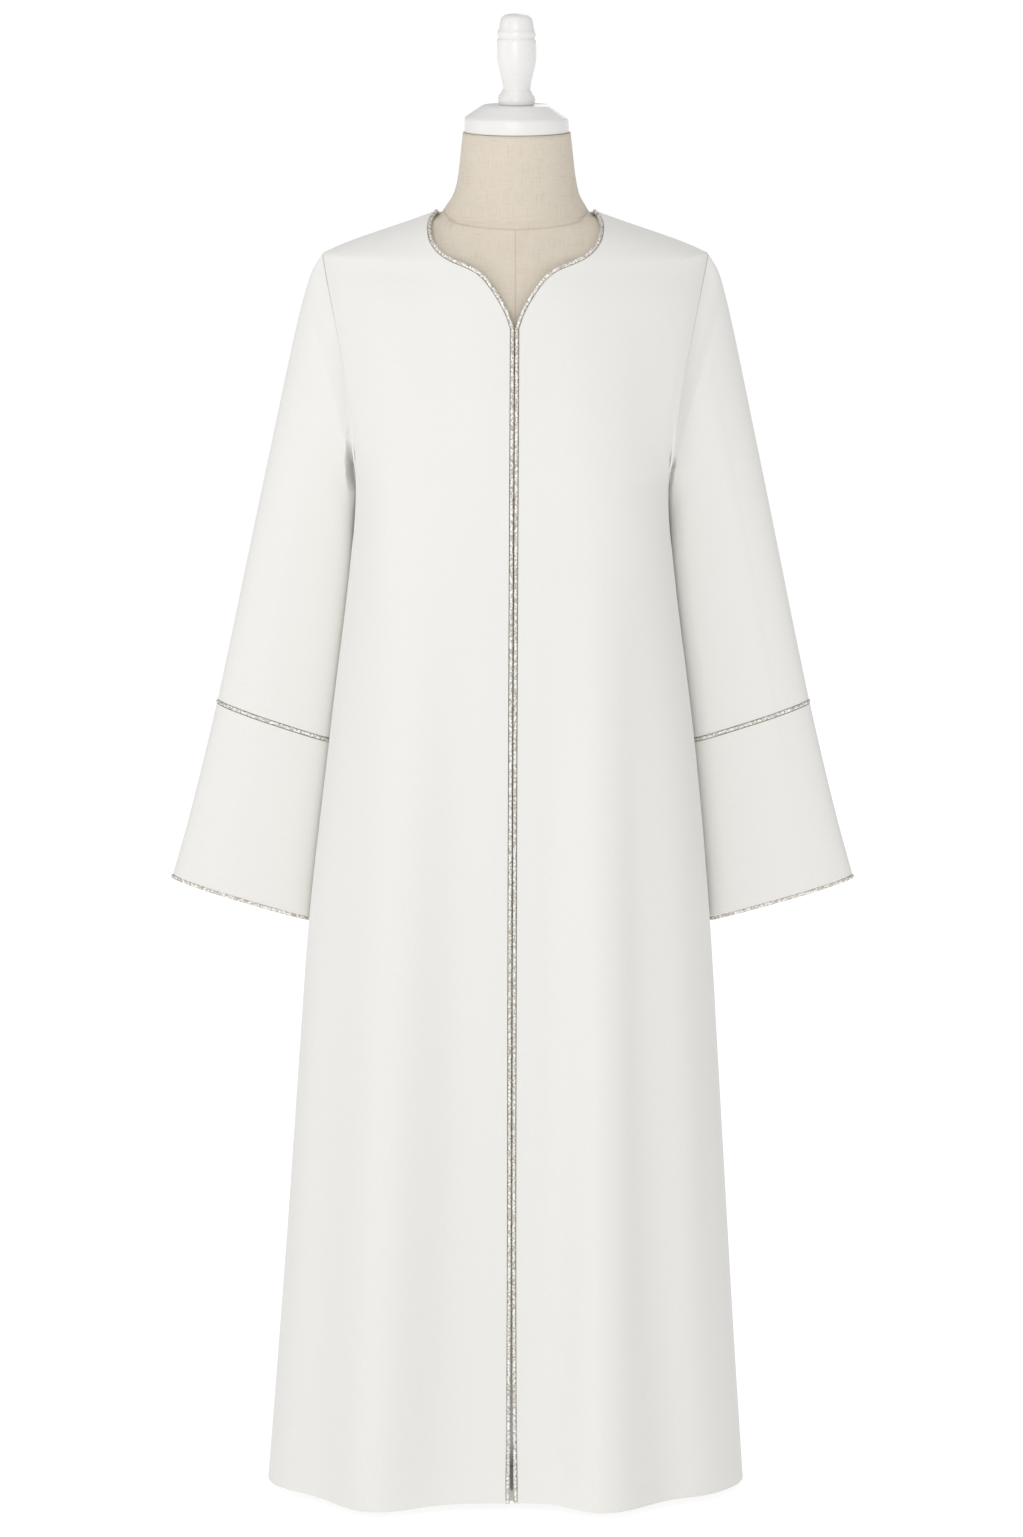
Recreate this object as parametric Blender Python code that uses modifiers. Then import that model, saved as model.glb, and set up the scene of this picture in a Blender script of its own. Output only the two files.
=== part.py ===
# A front-opening abaya cloak worn by a limbless dress form on a pole stand.
# Metres, +Z up. The garment faces -Y, and +X is the wearer's left side.
# Each cloth piece is a wall between two grids of points: its outer face, worked out from the
# sections below, and the same points moved in along the normals that sewn pieces share.
import math

import bpy
import numpy as np

# Driving sizes
CLOTH = 0.0020          # wall of every cloth piece
SEAM = 0.0003           # space left between two pieces that meet at a seam
CORD = 0.00225          # radius of the metallic piping
HEM_Z = 0.008           # the hem hangs this far above the floor
V_Z = 1.2765            # lowest point of the neckline
NECK_Z = 1.3909         # top of the shoulder seam, beside the neck
SHOULDER_Z = 1.3455     # outer end of the shoulder seam
ARMPIT_Z = 1.107        # lowest point of the armhole
SKIRT_ROWS = 11         # grid cells up the side seam
ARM_ROWS = 15           # grid cells up each half of the armhole
SHOULDER_COLUMNS = 6    # grid cells along the shoulder seam
FRONT_NECK_COLUMNS = 12  # grid cells along half of the front neckline
BACK_NECK_COLUMNS = 8   # grid cells along half of the back neckline
RING_POINTS = 2 * ARM_ROWS
BESIDE_CORD = CORD + SEAM  # from a cloth edge to the middle of the cord sewn along it

# The garment's body as level sections, top to hem.
# height, half width, depth in front, depth behind, middle in x, squareness
BODY = np.array((
    (1.3915, 0.0860, 0.068, 0.070, 0.0005, 1.70),
    (1.3870, 0.0978, 0.073, 0.075, 0.0005, 1.62),
    (1.3495, 0.1997, 0.092, 0.090, 0.0003, 1.50),
    (1.3455, 0.2065, 0.094, 0.092, 0.0003, 1.50),
    (1.3080, 0.2065, 0.106, 0.101, 0.0000, 1.75),
    (1.2670, 0.2035, 0.116, 0.107, 0.0000, 1.95),
    (1.2260, 0.1990, 0.124, 0.111, -0.0005, 2.10),
    (1.1900, 0.1930, 0.129, 0.112, -0.0010, 2.25),
    (1.1450, 0.1830, 0.131, 0.112, -0.0020, 2.50),
    (1.1150, 0.1700, 0.131, 0.111, -0.0025, 2.85),
    (1.1070, 0.1655, 0.131, 0.111, -0.0030, 2.90),
    (1.0130, 0.1737, 0.130, 0.110, -0.0035, 2.60),
    (0.8246, 0.1965, 0.130, 0.114, -0.0035, 2.45),
    (0.6222, 0.2170, 0.132, 0.119, -0.0060, 2.40),
    (0.4683, 0.2274, 0.133, 0.123, -0.0070, 2.40),
    (0.3136, 0.2374, 0.135, 0.128, -0.0079, 2.40),
    (0.1583, 0.2480, 0.137, 0.132, -0.0092, 2.40),
    (0.0080, 0.2590, 0.139, 0.136, -0.0103, 2.40),
))

# Long folds, none at their top and full at the hem.
# face (-1 front, 1 back), x at top, x at hem, top height, depth at hem, width to -X, width to +X
FOLDS = (
    (-1, -0.118, -0.1600, 1.170, 0.0570, 0.042, 0.064),
    (-1, 0.098, 0.0980, 1.160, 0.0540, 0.045, 0.054),
    (-1, 0.150, 0.2060, 0.900, 0.0090, 0.030, 0.026),
    (1, -0.090, -0.1350, 1.150, 0.0480, 0.046, 0.056),
    (1, 0.085, 0.1150, 1.180, 0.0510, 0.052, 0.044),
    (1, -0.010, -0.0100, 0.800, 0.0160, 0.030, 0.034),
)

# Cloth edge of the front neckline, from the point of the V to the shoulder seam:
# distance from the middle, height
FRONT_NECK = np.array((
    (0.0050, 1.2765), (0.0100, 1.2905), (0.0175, 1.3045), (0.0262, 1.3175),
    (0.0352, 1.3280), (0.0448, 1.3348), (0.0550, 1.3392), (0.0660, 1.3432),
    (0.0765, 1.3484), (0.0865, 1.3565), (0.0928, 1.3670), (0.0946, 1.3780),
    (0.0925, 1.3860), (0.0876, 1.3909),
))
# Cloth edge of the back neckline, from the middle of the back to the shoulder seam
BACK_NECK = np.array((
    (0.0000, 1.3812), (0.0300, 1.3815), (0.0600, 1.3824), (0.0800, 1.3844),
    (0.0880, 1.3872), (0.0876, 1.3909),
))
# Armhole from the armpit to the shoulder point: distance from the middle, height
FRONT_ARMHOLE = np.array((
    (0.1655, 1.1070), (0.1680, 1.1180), (0.1715, 1.1450), (0.1745, 1.1700),
    (0.1775, 1.1920), (0.1825, 1.2260), (0.1905, 1.2670), (0.1990, 1.3080),
    (0.2030, 1.3270), (0.2065, 1.3455),
))
BACK_ARMHOLE = np.array((
    (0.1655, 1.1070), (0.1680, 1.1180), (0.1725, 1.1450), (0.1765, 1.1700),
    (0.1800, 1.1920), (0.1850, 1.2260), (0.1920, 1.2670), (0.2000, 1.3080),
    (0.2040, 1.3270), (0.2065, 1.3455),
))
# By height: from the middle of the closing to the middle of a front cord, and the
# shift of the closing in x
CLOSING = np.array((
    (0.0080, 0.0042, -0.0036), (0.1200, 0.0030, -0.0038), (0.3500, 0.0024, -0.0036),
    (0.6600, 0.0024, -0.0030), (1.2765, 0.0024, -0.0005),
))

# Sleeve from armhole (0) to cuff seam (1): share of the way, outer x, outer z,
# clear of the body's side by, inner z, middle in y, half depth
SLEEVE = np.array((
    (0.00, 0.2065, 1.3455, 0.0000, 1.1070, 0.000, 0.0500),
    (0.04, 0.2175, 1.3270, 0.0035, 1.0970, 0.002, 0.0500),
    (0.10, 0.2262, 1.2990, 0.0045, 1.0790, 0.008, 0.0480),
    (0.18, 0.2356, 1.2600, 0.0040, 1.0540, 0.020, 0.0450),
    (0.28, 0.2462, 1.2110, 0.0025, 1.0250, 0.033, 0.0410),
    (0.40, 0.2586, 1.1520, 0.0010, 0.9900, 0.042, 0.0370),
    (0.55, 0.2740, 1.0790, 0.0000, 0.9460, 0.046, 0.0340),
    (0.70, 0.2893, 1.0050, -0.0015, 0.9020, 0.047, 0.0320),
    (0.85, 0.3046, 0.9310, -0.0030, 0.8580, 0.047, 0.0310),
    (1.00, 0.3206, 0.8560, -0.0040, 0.8150, 0.047, 0.0300),
))
SLEEVE_RINGS = (0.0, 0.03, 0.07, 0.12, 0.18, 0.26, 0.35, 0.46, 0.58, 0.72, 0.86, 1.0)
# Cuff from its seam (0) to its hem (1), the same columns
CUFF = np.array((
    (0.00, 0.3206, 0.8560, -0.0040, 0.8150, 0.047, 0.0300),
    (0.35, 0.3362, 0.7900, -0.0045, 0.7470, 0.047, 0.0295),
    (0.70, 0.3532, 0.7225, -0.0045, 0.6775, 0.047, 0.0290),
    (1.00, 0.3696, 0.6640, -0.0045, 0.6190, 0.047, 0.0290),
))
CUFF_RINGS = (0.0, 0.33, 0.67, 1.0)
SLEEVE_SHIFT = -0.0025  # the cuffs hang this far to the wearer's right of the middle

# The dress form as level sections: height, half width, front, back, middle in y, squareness
FORM = np.array((
    (0.790, 0.128, 0.085, 0.088, 0.006, 2.3),
    (0.800, 0.137, 0.092, 0.094, 0.006, 2.3),
    (0.860, 0.149, 0.101, 0.098, 0.004, 2.3),
    (0.930, 0.137, 0.094, 0.088, 0.003, 2.2),
    (0.990, 0.119, 0.085, 0.079, 0.002, 2.2),
    (1.050, 0.128, 0.098, 0.086, 0.001, 2.2),
    (1.110, 0.146, 0.117, 0.096, 0.000, 2.2),
    (1.160, 0.153, 0.123, 0.102, 0.000, 2.2),
    (1.210, 0.160, 0.118, 0.104, 0.000, 2.1),
    (1.260, 0.168, 0.108, 0.102, 0.000, 2.0),
    (1.300, 0.178, 0.099, 0.094, 0.000, 1.80),
    (1.325, 0.1855, 0.0910, 0.0870, 0.000, 1.60),
    (1.3410, 0.1890, 0.0850, 0.0810, 0.000, 1.50),
    (1.3480, 0.1930, 0.0820, 0.0775, 0.000, 1.50),
    (1.3500, 0.1890, 0.0810, 0.0765, 0.000, 1.50),
    (1.3600, 0.1616, 0.0750, 0.0715, 0.000, 1.51),
    (1.3700, 0.1345, 0.0700, 0.0670, 0.000, 1.53),
    (1.3790, 0.1098, 0.0663, 0.0640, 0.000, 1.58),
    (1.3835, 0.0942, 0.0643, 0.0628, 0.001, 1.66),
    (1.3860, 0.0838, 0.0638, 0.0624, 0.002, 1.76),
    (1.3900, 0.0790, 0.0635, 0.0625, 0.003, 1.95),
    (1.3970, 0.0745, 0.0640, 0.0640, 0.004, 2.0),
    (1.4090, 0.0675, 0.0610, 0.0610, 0.004, 2.0),
    (1.4270, 0.0631, 0.0590, 0.0590, 0.004, 2.0),
    (1.4520, 0.0602, 0.0577, 0.0577, 0.004, 2.0),
    (1.4752, 0.0577, 0.0565, 0.0565, 0.004, 2.0),
))
FORM_POINTS = 36
NECK_X, NECK_Y = 0.0018, 0.004  # the neck, its cap and finial stand off the middle by this

# Turned parts: radius, height
CAP = (
    (0.0000, 1.4755), (0.0545, 1.4755), (0.0558, 1.4768), (0.0558, 1.4900), (0.0546, 1.4922),
    (0.0385, 1.5030), (0.0355, 1.5045), (0.0000, 1.5045),
)
FINIAL = (
    (0.0000, 1.5048), (0.0180, 1.5048), (0.0194, 1.5068), (0.0200, 1.5105), (0.0194, 1.5142),
    (0.0172, 1.5172), (0.0161, 1.5195), (0.0148, 1.5215), (0.0150, 1.5250), (0.0166, 1.5330),
    (0.0183, 1.5400), (0.0201, 1.5475), (0.0211, 1.5560), (0.0213, 1.5660), (0.0211, 1.5745),
    (0.0198, 1.5760), (0.0198, 1.5774), (0.0207, 1.5788), (0.0207, 1.5822), (0.0190, 1.5860),
    (0.0182, 1.5920), (0.0165, 1.5975), (0.0120, 1.6008), (0.0000, 1.6020),
)
BASE = (
    (0.0000, 0.0000), (0.0980, 0.0000), (0.1000, 0.0020), (0.1000, 0.0110), (0.0960, 0.0150),
    (0.0240, 0.0190), (0.0000, 0.0190),
)
POLE_RADIUS = 0.0125
POLE_FROM = 0.0193
POLE_TO = 0.7897


def fresh_collection(name):
    made = bpy.data.collections.new(name)
    bpy.context.scene.collection.children.link(made)
    return made


def smooth(knots, values, at):
    """Values at `at` on a curve through the knots that never swings past them."""
    order = np.argsort(knots)
    x, y = np.asarray(knots)[order], np.asarray(values)[order]
    h, d = np.diff(x), np.diff(y) / np.diff(x)
    m = np.zeros(len(x))
    m[0], m[-1] = d[0], d[-1]
    for i in range(1, len(x) - 1):
        if d[i - 1] * d[i] > 0:
            a, b = 2 * h[i] + h[i - 1], h[i] + 2 * h[i - 1]
            m[i] = (a + b) / (a / d[i - 1] + b / d[i])
    at = np.clip(at, x[0], x[-1])
    i = np.clip(np.searchsorted(x, at) - 1, 0, len(h) - 1)
    t = (at - x[i]) / h[i]
    return ((1 + 2 * t) * (1 - t) ** 2 * y[i] + t * (1 - t) ** 2 * h[i] * m[i]
            + t * t * (3 - 2 * t) * y[i + 1] + t * t * (t - 1) * h[i] * m[i + 1])


def quarter(half_width, depth, power):
    """A quarter of a squared ellipse from its middle to its side, and the share of its length."""
    turn = np.linspace(0, math.pi / 2, 161)
    x = half_width * np.sin(turn) ** (2 / power)
    y = depth * np.cos(turn) ** (2 / power)
    run = np.concatenate(([0.0], np.cumsum(np.hypot(np.diff(x), np.diff(y)))))
    return x, y, run / run[-1]


def section(z, face):
    """Half width, depth, middle and squareness of the body at one height, on one face."""
    depth = 2 if face < 0 else 3
    return [float(smooth(BODY[:, 0], BODY[:, c], z)) for c in (1, depth, 4, 5)]


def share_of(x, z, face):
    """How far round from the middle (0) to the side (1) a point x from the middle lies."""
    half_width, depth, _, power = section(z, face)
    xs, _, share = quarter(half_width, depth, power)
    return float(np.interp(x, xs, share))


def fold_depth(x, z, face, side_share):
    """How far the long folds carry the cloth out, at one place."""
    out = 0.0
    for row_face, x_top, x_hem, top, depth, to_left, to_right in FOLDS:
        if row_face != face or z > top:
            continue
        fall = (top - z) / (top - HEM_Z)
        middle = x_top + (x_hem - x_top) * fall
        width = (to_left if x < middle else to_right) * (0.75 + 0.25 * fall)
        out += depth * fall ** 1.15 * math.exp(-abs((x - middle) / width) ** 2.3)
    return out * (1 - side_share ** 10)


def body_point(share, z, side, face):
    """A point of the garment's outer face: side -1 or 1 in x, face -1 front or 1 back."""
    half_width, depth, middle, power = section(z, face)
    xs, ys, shares = quarter(half_width, depth, power)
    x = middle + side * float(np.interp(share, shares, xs))
    y = face * (float(np.interp(share, shares, ys)) + fold_depth(x, z, face, share))
    return np.array((x, y, z))


def towards_top(count):
    """Shares of the way from 0 to 1, closer together towards 1."""
    return 1 - (1 - np.linspace(0, 1, count + 1)) ** 1.5


def spaced(path, shares):
    """Points along a path at these shares of its length."""
    path = np.asarray(path, float)
    run = np.concatenate(([0.0], np.cumsum(np.linalg.norm(np.diff(path, axis=0), axis=1))))
    at = np.asarray(shares) * run[-1]
    return np.stack([smooth(run, path[:, c], at) for c in range(path.shape[1])], axis=1)


def rows_up(low, high, count):
    """Heights from hem upwards, closer together towards the top."""
    t = np.linspace(0, 1, count + 1)
    return low + (high - low) * (1.18 * t - 0.18 * t * t)


def panel(side, face, neck, armhole, neck_columns):
    """Outer grid of half a body piece: rows up from the hem, columns from the middle out.
    Its four edges are set in shares and heights, and the inside is blended from them."""
    rows, columns = SKIRT_ROWS + ARM_ROWS, neck_columns + SHOULDER_COLUMNS
    chest = ARMPIT_Z - 0.06
    middle_z = np.concatenate((rows_up(HEM_Z, chest, SKIRT_ROWS),
                               chest + (neck[0, 1] - chest) * towards_top(ARM_ROWS)[1:]))
    edge_in = []
    for z in middle_z:
        x = 0.0
        if face < 0:
            x = float(smooth(CLOSING[:, 0], CLOSING[:, 1], z)) + BESIDE_CORD
        edge_in.append((share_of(x, z, face), z))
    edge_out = [(1.0, z) for z in rows_up(HEM_Z, ARMPIT_Z, SKIRT_ROWS)[:-1]]
    edge_out += [(share_of(x, z, face), z) for x, z in spaced(armhole, towards_top(ARM_ROWS))]
    edge_out[SKIRT_ROWS] = (1.0, ARMPIT_Z)
    edge_out[-1] = (1.0, SHOULDER_Z)
    high = [(share_of(x, z, face), z) for x, z in spaced(neck, np.linspace(0, 1, neck_columns + 1)[:-1])]
    high += [(1.0, z) for z in np.linspace(NECK_Z, SHOULDER_Z, SHOULDER_COLUMNS + 1)]
    edge_in, edge_out, high = np.array(edge_in), np.array(edge_out), np.array(high)
    high[0] = edge_in[-1]
    u = np.linspace(0, 1, columns + 1)
    low = edge_in[0] + (edge_out[0] - edge_in[0]) * u[:, None]
    grid = np.zeros((rows + 1, columns + 1, 3))
    for i in range(rows + 1):
        v = i / rows
        for j in range(columns + 1):
            a = u[j]
            share, z = ((1 - a) * edge_in[i] + a * edge_out[i] + (1 - v) * low[j] + v * high[j]
                        - (1 - a) * (1 - v) * edge_in[0] - a * (1 - v) * edge_out[0]
                        - (1 - a) * v * edge_in[-1] - a * v * edge_out[-1])
            grid[i, j] = body_point(min(max(share, 0.0), 1.0), z, side, face)
        if face < 0:
            grid[i] += lean(grid[i])
    return grid


def lean(points):
    """The closing of the fronts lies a little off the middle: a shift in x that fades outwards."""
    shift = smooth(CLOSING[:, 0], CLOSING[:, 2], points[:, 2])
    middle = smooth(BODY[:, 0], BODY[:, 4], points[:, 2])
    fade = np.clip(1 - np.abs(points[:, 0] - middle) / 0.09, 0, 1)
    out = np.zeros_like(points)
    out[:, 0] = (shift - middle) * fade * fade * (3 - 2 * fade)
    return out


def arm_ring(table, t, side):
    """One ring round a sleeve or cuff, from its outer edge round the front to its inner edge."""
    out_x, out_z, clear, in_z, mid_y, half_depth = (
        float(smooth(table[:, 0], table[:, c], t)) for c in range(1, 7))
    half_width, _, middle, _ = section(in_z, 1)
    in_x = half_width + clear + middle * side
    drop = SHOULDER_Z - (out_z + in_z) / 2
    shift = SLEEVE_SHIFT * min(max(drop / 0.7, 0), 1)
    outer = np.array((side * out_x + shift, mid_y, out_z))
    inner = np.array((side * in_x, mid_y, in_z))
    ring = []
    for j in range(RING_POINTS):
        turn = 2 * math.pi * j / RING_POINTS
        across = (outer + inner) / 2 + (outer - inner) / 2 * math.cos(turn)
        ring.append(across - np.array((0, half_depth * math.sin(turn), 0)))
    return np.array(ring)


def sleeve_grid(side, front, back):
    """Rings from the armhole, taken from the two body pieces, down to the cuff seam."""
    down = np.concatenate((front[SKIRT_ROWS:, -1][::-1], back[SKIRT_ROWS:, -1][1:-1]))
    first = arm_ring(SLEEVE, 0.0, side)
    rings = []
    for t in SLEEVE_RINGS:
        keep = max(0.0, 1 - t / 0.30) ** 2
        rings.append(arm_ring(SLEEVE, t, side) + (down - first) * keep)
    rings[0] = down
    return np.array(rings)


def close_rings(grid):
    """The first column again as the last, for a grid that goes all round."""
    return np.concatenate((grid, grid[:, :1]), axis=1)


def shared_normals(grids):
    """For each grid its unit normals, taken over every piece that meets at a point. Where a
    sleeve turns back on the body, as under the arm, each of the two keeps its own."""
    totals = {"body": {}, "arm": {}}
    for kind, grid, flip in grids:
        key = np.round(grid, 5)
        across = grid[1:, 1:] - grid[:-1, :-1]
        up = grid[1:, :-1] - grid[:-1, 1:]
        face = np.cross(across, up) * flip
        total = totals[kind]
        for i in range(face.shape[0]):
            for j in range(face.shape[1]):
                for a, b in ((i, j), (i + 1, j), (i, j + 1), (i + 1, j + 1)):
                    k = tuple(key[a, b])
                    total[k] = total.get(k, 0) + face[i, j]
    normals = []
    for kind, grid, _ in grids:
        other = totals["arm" if kind == "body" else "body"]
        made = np.zeros_like(grid)
        for place, k in zip(np.ndindex(grid.shape[:2]), np.round(grid, 5).reshape(-1, 3)):
            own = totals[kind][tuple(k)]
            own = own / np.linalg.norm(own)
            met = other.get(tuple(k))
            if met is not None:
                met = met / np.linalg.norm(met)
                own = own + met * min(max(2.5 * float(own @ met), 0), 1)
            made[place] = own / np.linalg.norm(own)
        normals.append(made)
    return normals


def pull_in(grid, low=0.0, high=0.0):
    """Moves the first and last rings of a sleeve or cuff towards its inside."""
    made = grid.copy()
    for row, inside, amount in ((0, 1, low), (-1, -2, high)):
        towards = grid[inside] - grid[row]
        made[row] += towards / np.linalg.norm(towards, axis=1, keepdims=True) * amount
    return made


def part_seams(grid, face, first_shoulder, sides):
    """Draws a body piece back from its seams: from the shoulder and side seams, which lie in
    the plane y = 0, towards its own face, and from the armholes towards its middle."""
    made = grid.copy()
    columns = grid.shape[1]
    for end, inside, step in sides:
        shoulder = np.arange(columns)[::step][:columns - first_shoulder]
        made[-1, shoulder[1:], 1] += face * SEAM / 2
        made[:, end, 1] += face * SEAM / 2
        towards = grid[SKIRT_ROWS:, inside] - grid[SKIRT_ROWS:, end]
        run = np.gradient(grid[SKIRT_ROWS:, end], axis=0)
        run /= np.linalg.norm(run, axis=1, keepdims=True)
        towards -= run * np.sum(towards * run, axis=1, keepdims=True)
        towards /= np.linalg.norm(towards, axis=1, keepdims=True)
        made[SKIRT_ROWS:, end] += towards * SEAM / 2
    return made


def beside(path, normals, away):
    """A line alongside an edge of the cloth, half a wall deep, at the cord's distance.
    `away` is 1 or -1: which side of the path is clear of the cloth."""
    run = np.gradient(path, axis=0)
    out = np.cross(run, normals) * away
    out /= np.linalg.norm(out, axis=1, keepdims=True)
    return path + out * BESIDE_CORD - normals * CLOTH / 2


def square_end(path, index, towards_back):
    """Ends a neck cord level and square at the shoulder seam, so that two cords meet flat."""
    tip = path[index].copy()
    short, long = np.array((0, SEAM / 2, 0)), np.array((0, 0.003, 0))
    ends = [tip + towards_back * long, tip + towards_back * short]
    if index == 0:
        return np.concatenate((ends[::-1], path[1:]))
    return np.concatenate((path[:-1], ends))


def paint(obj, name, colour, roughness, metallic=0.0):
    """Gives an object its own material."""
    made = bpy.data.materials.new(name)
    made.use_nodes = True
    shader = made.node_tree.nodes["Principled BSDF"]
    shader.inputs["Base Color"].default_value = (*colour, 1.0)
    shader.inputs["Roughness"].default_value = roughness
    shader.inputs["Metallic"].default_value = metallic
    obj.data.materials.append(made)


def mesh_object(name, points, faces, collection):
    mesh = bpy.data.meshes.new(name)
    mesh.from_pydata([tuple(p) for p in points], [], faces)
    mesh.update()
    made = bpy.data.objects.new(name, mesh)
    collection.objects.link(made)
    return made


def wall(name, outer, inner, flip, collection, ring=False):
    """A closed wall between two grids of the same size. With `ring` the columns go all round."""
    rows, columns = outer.shape[:2]
    count = rows * columns
    faces = []

    def at(i, j, layer):
        return layer * count + i * columns + j % columns

    spans = columns if ring else columns - 1
    points = np.concatenate((outer.reshape(-1, 3), inner.reshape(-1, 3)))
    # Each cell is split along the diagonal that stands further out, on both faces.
    for i in range(rows - 1):
        for j in range(spans):
            a, b, c, d = at(i, j, 0), at(i, j + 1, 0), at(i + 1, j + 1, 0), at(i + 1, j, 0)
            out = points[a] + points[c] - points[a + count] - points[c + count]
            if (points[a] + points[c] - points[b] - points[d]) @ out > 0:
                split = ((a, b, c), (a, c, d))
            else:
                split = ((a, b, d), (b, c, d))
            faces += [list(t) for t in split] + [[v + count for v in t[::-1]] for t in split]
    edges = [(at(0, j + 1, 0), at(0, j, 0)) for j in range(spans)]
    edges += [(at(rows - 1, j, 0), at(rows - 1, j + 1, 0)) for j in range(spans)]
    if not ring:
        edges += [(at(i, 0, 0), at(i + 1, 0, 0)) for i in range(rows - 1)]
        edges += [(at(i + 1, columns - 1, 0), at(i, columns - 1, 0)) for i in range(rows - 1)]
    # Each step of the rim is split from the outer corner of its higher end, so that the
    # rims on the two sides of a seam run alongside each other.
    for a, b in edges:
        if points[a, 2] > points[b, 2]:
            faces += [[a, b, b + count], [a, b + count, a + count]]
        else:
            faces += [[a, b, a + count], [b, b + count, a + count]]
    if flip < 0:
        faces = [face[::-1] for face in faces]
    return mesh_object(name, points, faces, collection)


def cord(name, path, closed, collection):
    """Piping: a round cord along a path."""
    curve = bpy.data.curves.new(name, "CURVE")
    curve.dimensions = "3D"
    curve.bevel_depth = CORD
    curve.bevel_resolution = 1
    curve.use_fill_caps = not closed
    line = curve.splines.new("POLY")
    line.points.add(len(path) - 1)
    for point, place in zip(line.points, path):
        point.co = (*place, 1.0)
    line.use_cyclic_u = closed
    made = bpy.data.objects.new(name, curve)
    collection.objects.link(made)
    return made


def turned(name, profile, steps, collection, middle=(0.0, NECK_Y)):
    """A part turned round a vertical axis from a profile of radius and height."""
    mesh = bpy.data.meshes.new(name)
    points = [(radius, 0.0, z) for radius, z in profile]
    mesh.from_pydata(points, [(i, i + 1) for i in range(len(points) - 1)], [])
    made = bpy.data.objects.new(name, mesh)
    collection.objects.link(made)
    made.location = (*middle, 0.0)
    screw = made.modifiers.new("Turn", "SCREW")
    screw.axis = "Z"
    screw.angle = 2 * math.pi
    screw.steps = screw.render_steps = steps
    screw.use_merge_vertices = True
    screw.merge_threshold = 0.00002
    screw.use_normal_calculate = True
    return made


def form_ring(z):
    half_width, front, back, middle, power = (
        float(smooth(FORM[:, 0], FORM[:, c], z)) for c in range(1, 6))
    middle_x = 0.0005 + (NECK_X - 0.0005) * min(max((z - 1.39) / 0.03, 0), 1)
    ring = []
    for j in range(FORM_POINTS):
        turn = 2 * math.pi * j / FORM_POINTS
        c, s = math.cos(turn), math.sin(turn)
        x = half_width * math.copysign(abs(c) ** (2 / power), c)
        y = (back if s > 0 else front) * math.copysign(abs(s) ** (2 / power), s)
        ring.append((x + middle_x, y + middle, z))
    return ring


for old in list(bpy.data.objects):
    bpy.data.objects.remove(old, do_unlink=True)
garment = fresh_collection("abaya_on_dress_form")

# Outer faces of the pieces. The back is one piece, so its two halves are joined.
half = {}
for side in (-1, 1):
    half[side, -1] = panel(side, -1, FRONT_NECK, FRONT_ARMHOLE, FRONT_NECK_COLUMNS)
    half[side, 1] = panel(side, 1, BACK_NECK, BACK_ARMHOLE, BACK_NECK_COLUMNS)
back = np.concatenate((half[-1, 1][:, ::-1], half[1, 1][:, 1:]), axis=1)
sleeve = {side: sleeve_grid(side, half[side, -1], half[side, 1]) for side in (-1, 1)}
cuff = {side: np.array([arm_ring(CUFF, t, side) for t in CUFF_RINGS]) for side in (-1, 1)}

# Outward normals that meeting pieces share
together = [("body", half[-1, -1], -1), ("body", half[1, -1], 1), ("body", back, -1)]
for side in (-1, 1):
    together += [("arm", close_rings(sleeve[side]), side), ("arm", close_rings(cuff[side]), side)]
normals = shared_normals(together)

# Front pieces, and the piping up their edges and round to the shoulder
pieces = []
for name, side, out in (("front_right", -1, normals[0]), ("front_left", 1, normals[1])):
    outer = half[side, -1]
    shaped = [part_seams(g, -1, FRONT_NECK_COLUMNS, ((-1, -2, -1),))
              for g in (outer, outer - out * CLOTH)]
    pieces.append((wall(name, *shaped, side, garment), "cloth"))
    line = np.concatenate((outer[:, 0], outer[-1, 1:FRONT_NECK_COLUMNS + 1]))
    facing = np.concatenate((out[:, 0], out[-1, 1:FRONT_NECK_COLUMNS + 1]))
    path = square_end(beside(line, facing, -side), -1, -1)
    pieces.append((cord("piping_" + name, path, False, garment), "cord"))

# Back piece and its neck piping
out = normals[2]
first, last = SHOULDER_COLUMNS, back.shape[1] - SHOULDER_COLUMNS
shaped = [part_seams(g, 1, last - 1, ((0, 1, 1), (-1, -2, -1)))
          for g in (back, back - out * CLOTH)]
pieces.append((wall("back", *shaped, -1, garment), "cloth"))
path = beside(back[-1, first:last], out[-1, first:last], 1)
path = square_end(square_end(path, 0, 1), -1, 1)
pieces.append((cord("piping_neck_back", path, False, garment), "cord"))

# Sleeves and cuffs, with piping in the seam between them and round the cuff's end
for k, (side, which) in enumerate(((-1, "right"), (1, "left"))):
    grids = (sleeve[side], normals[3 + 2 * k][:, :-1]), (cuff[side], normals[4 + 2 * k][:, :-1])
    for (outer, out), piece, low in zip(grids, ("sleeve", "cuff"), (2 * SEAM, BESIDE_CORD)):
        shaped = [pull_in(close_rings(g), low=low, high=BESIDE_CORD)[:, :-1]
                  for g in (outer, outer - out * CLOTH)]
        pieces.append((wall(f"{piece}_{which}", *shaped, side, garment, ring=True), "cloth"))
    for (outer, out), place in zip(grids, ("seam", "hem")):
        path = outer[-1] - out[-1] * CLOTH / 2
        pieces.append((cord(f"piping_cuff_{place}_{which}", path, True, garment), "cord"))

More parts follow.
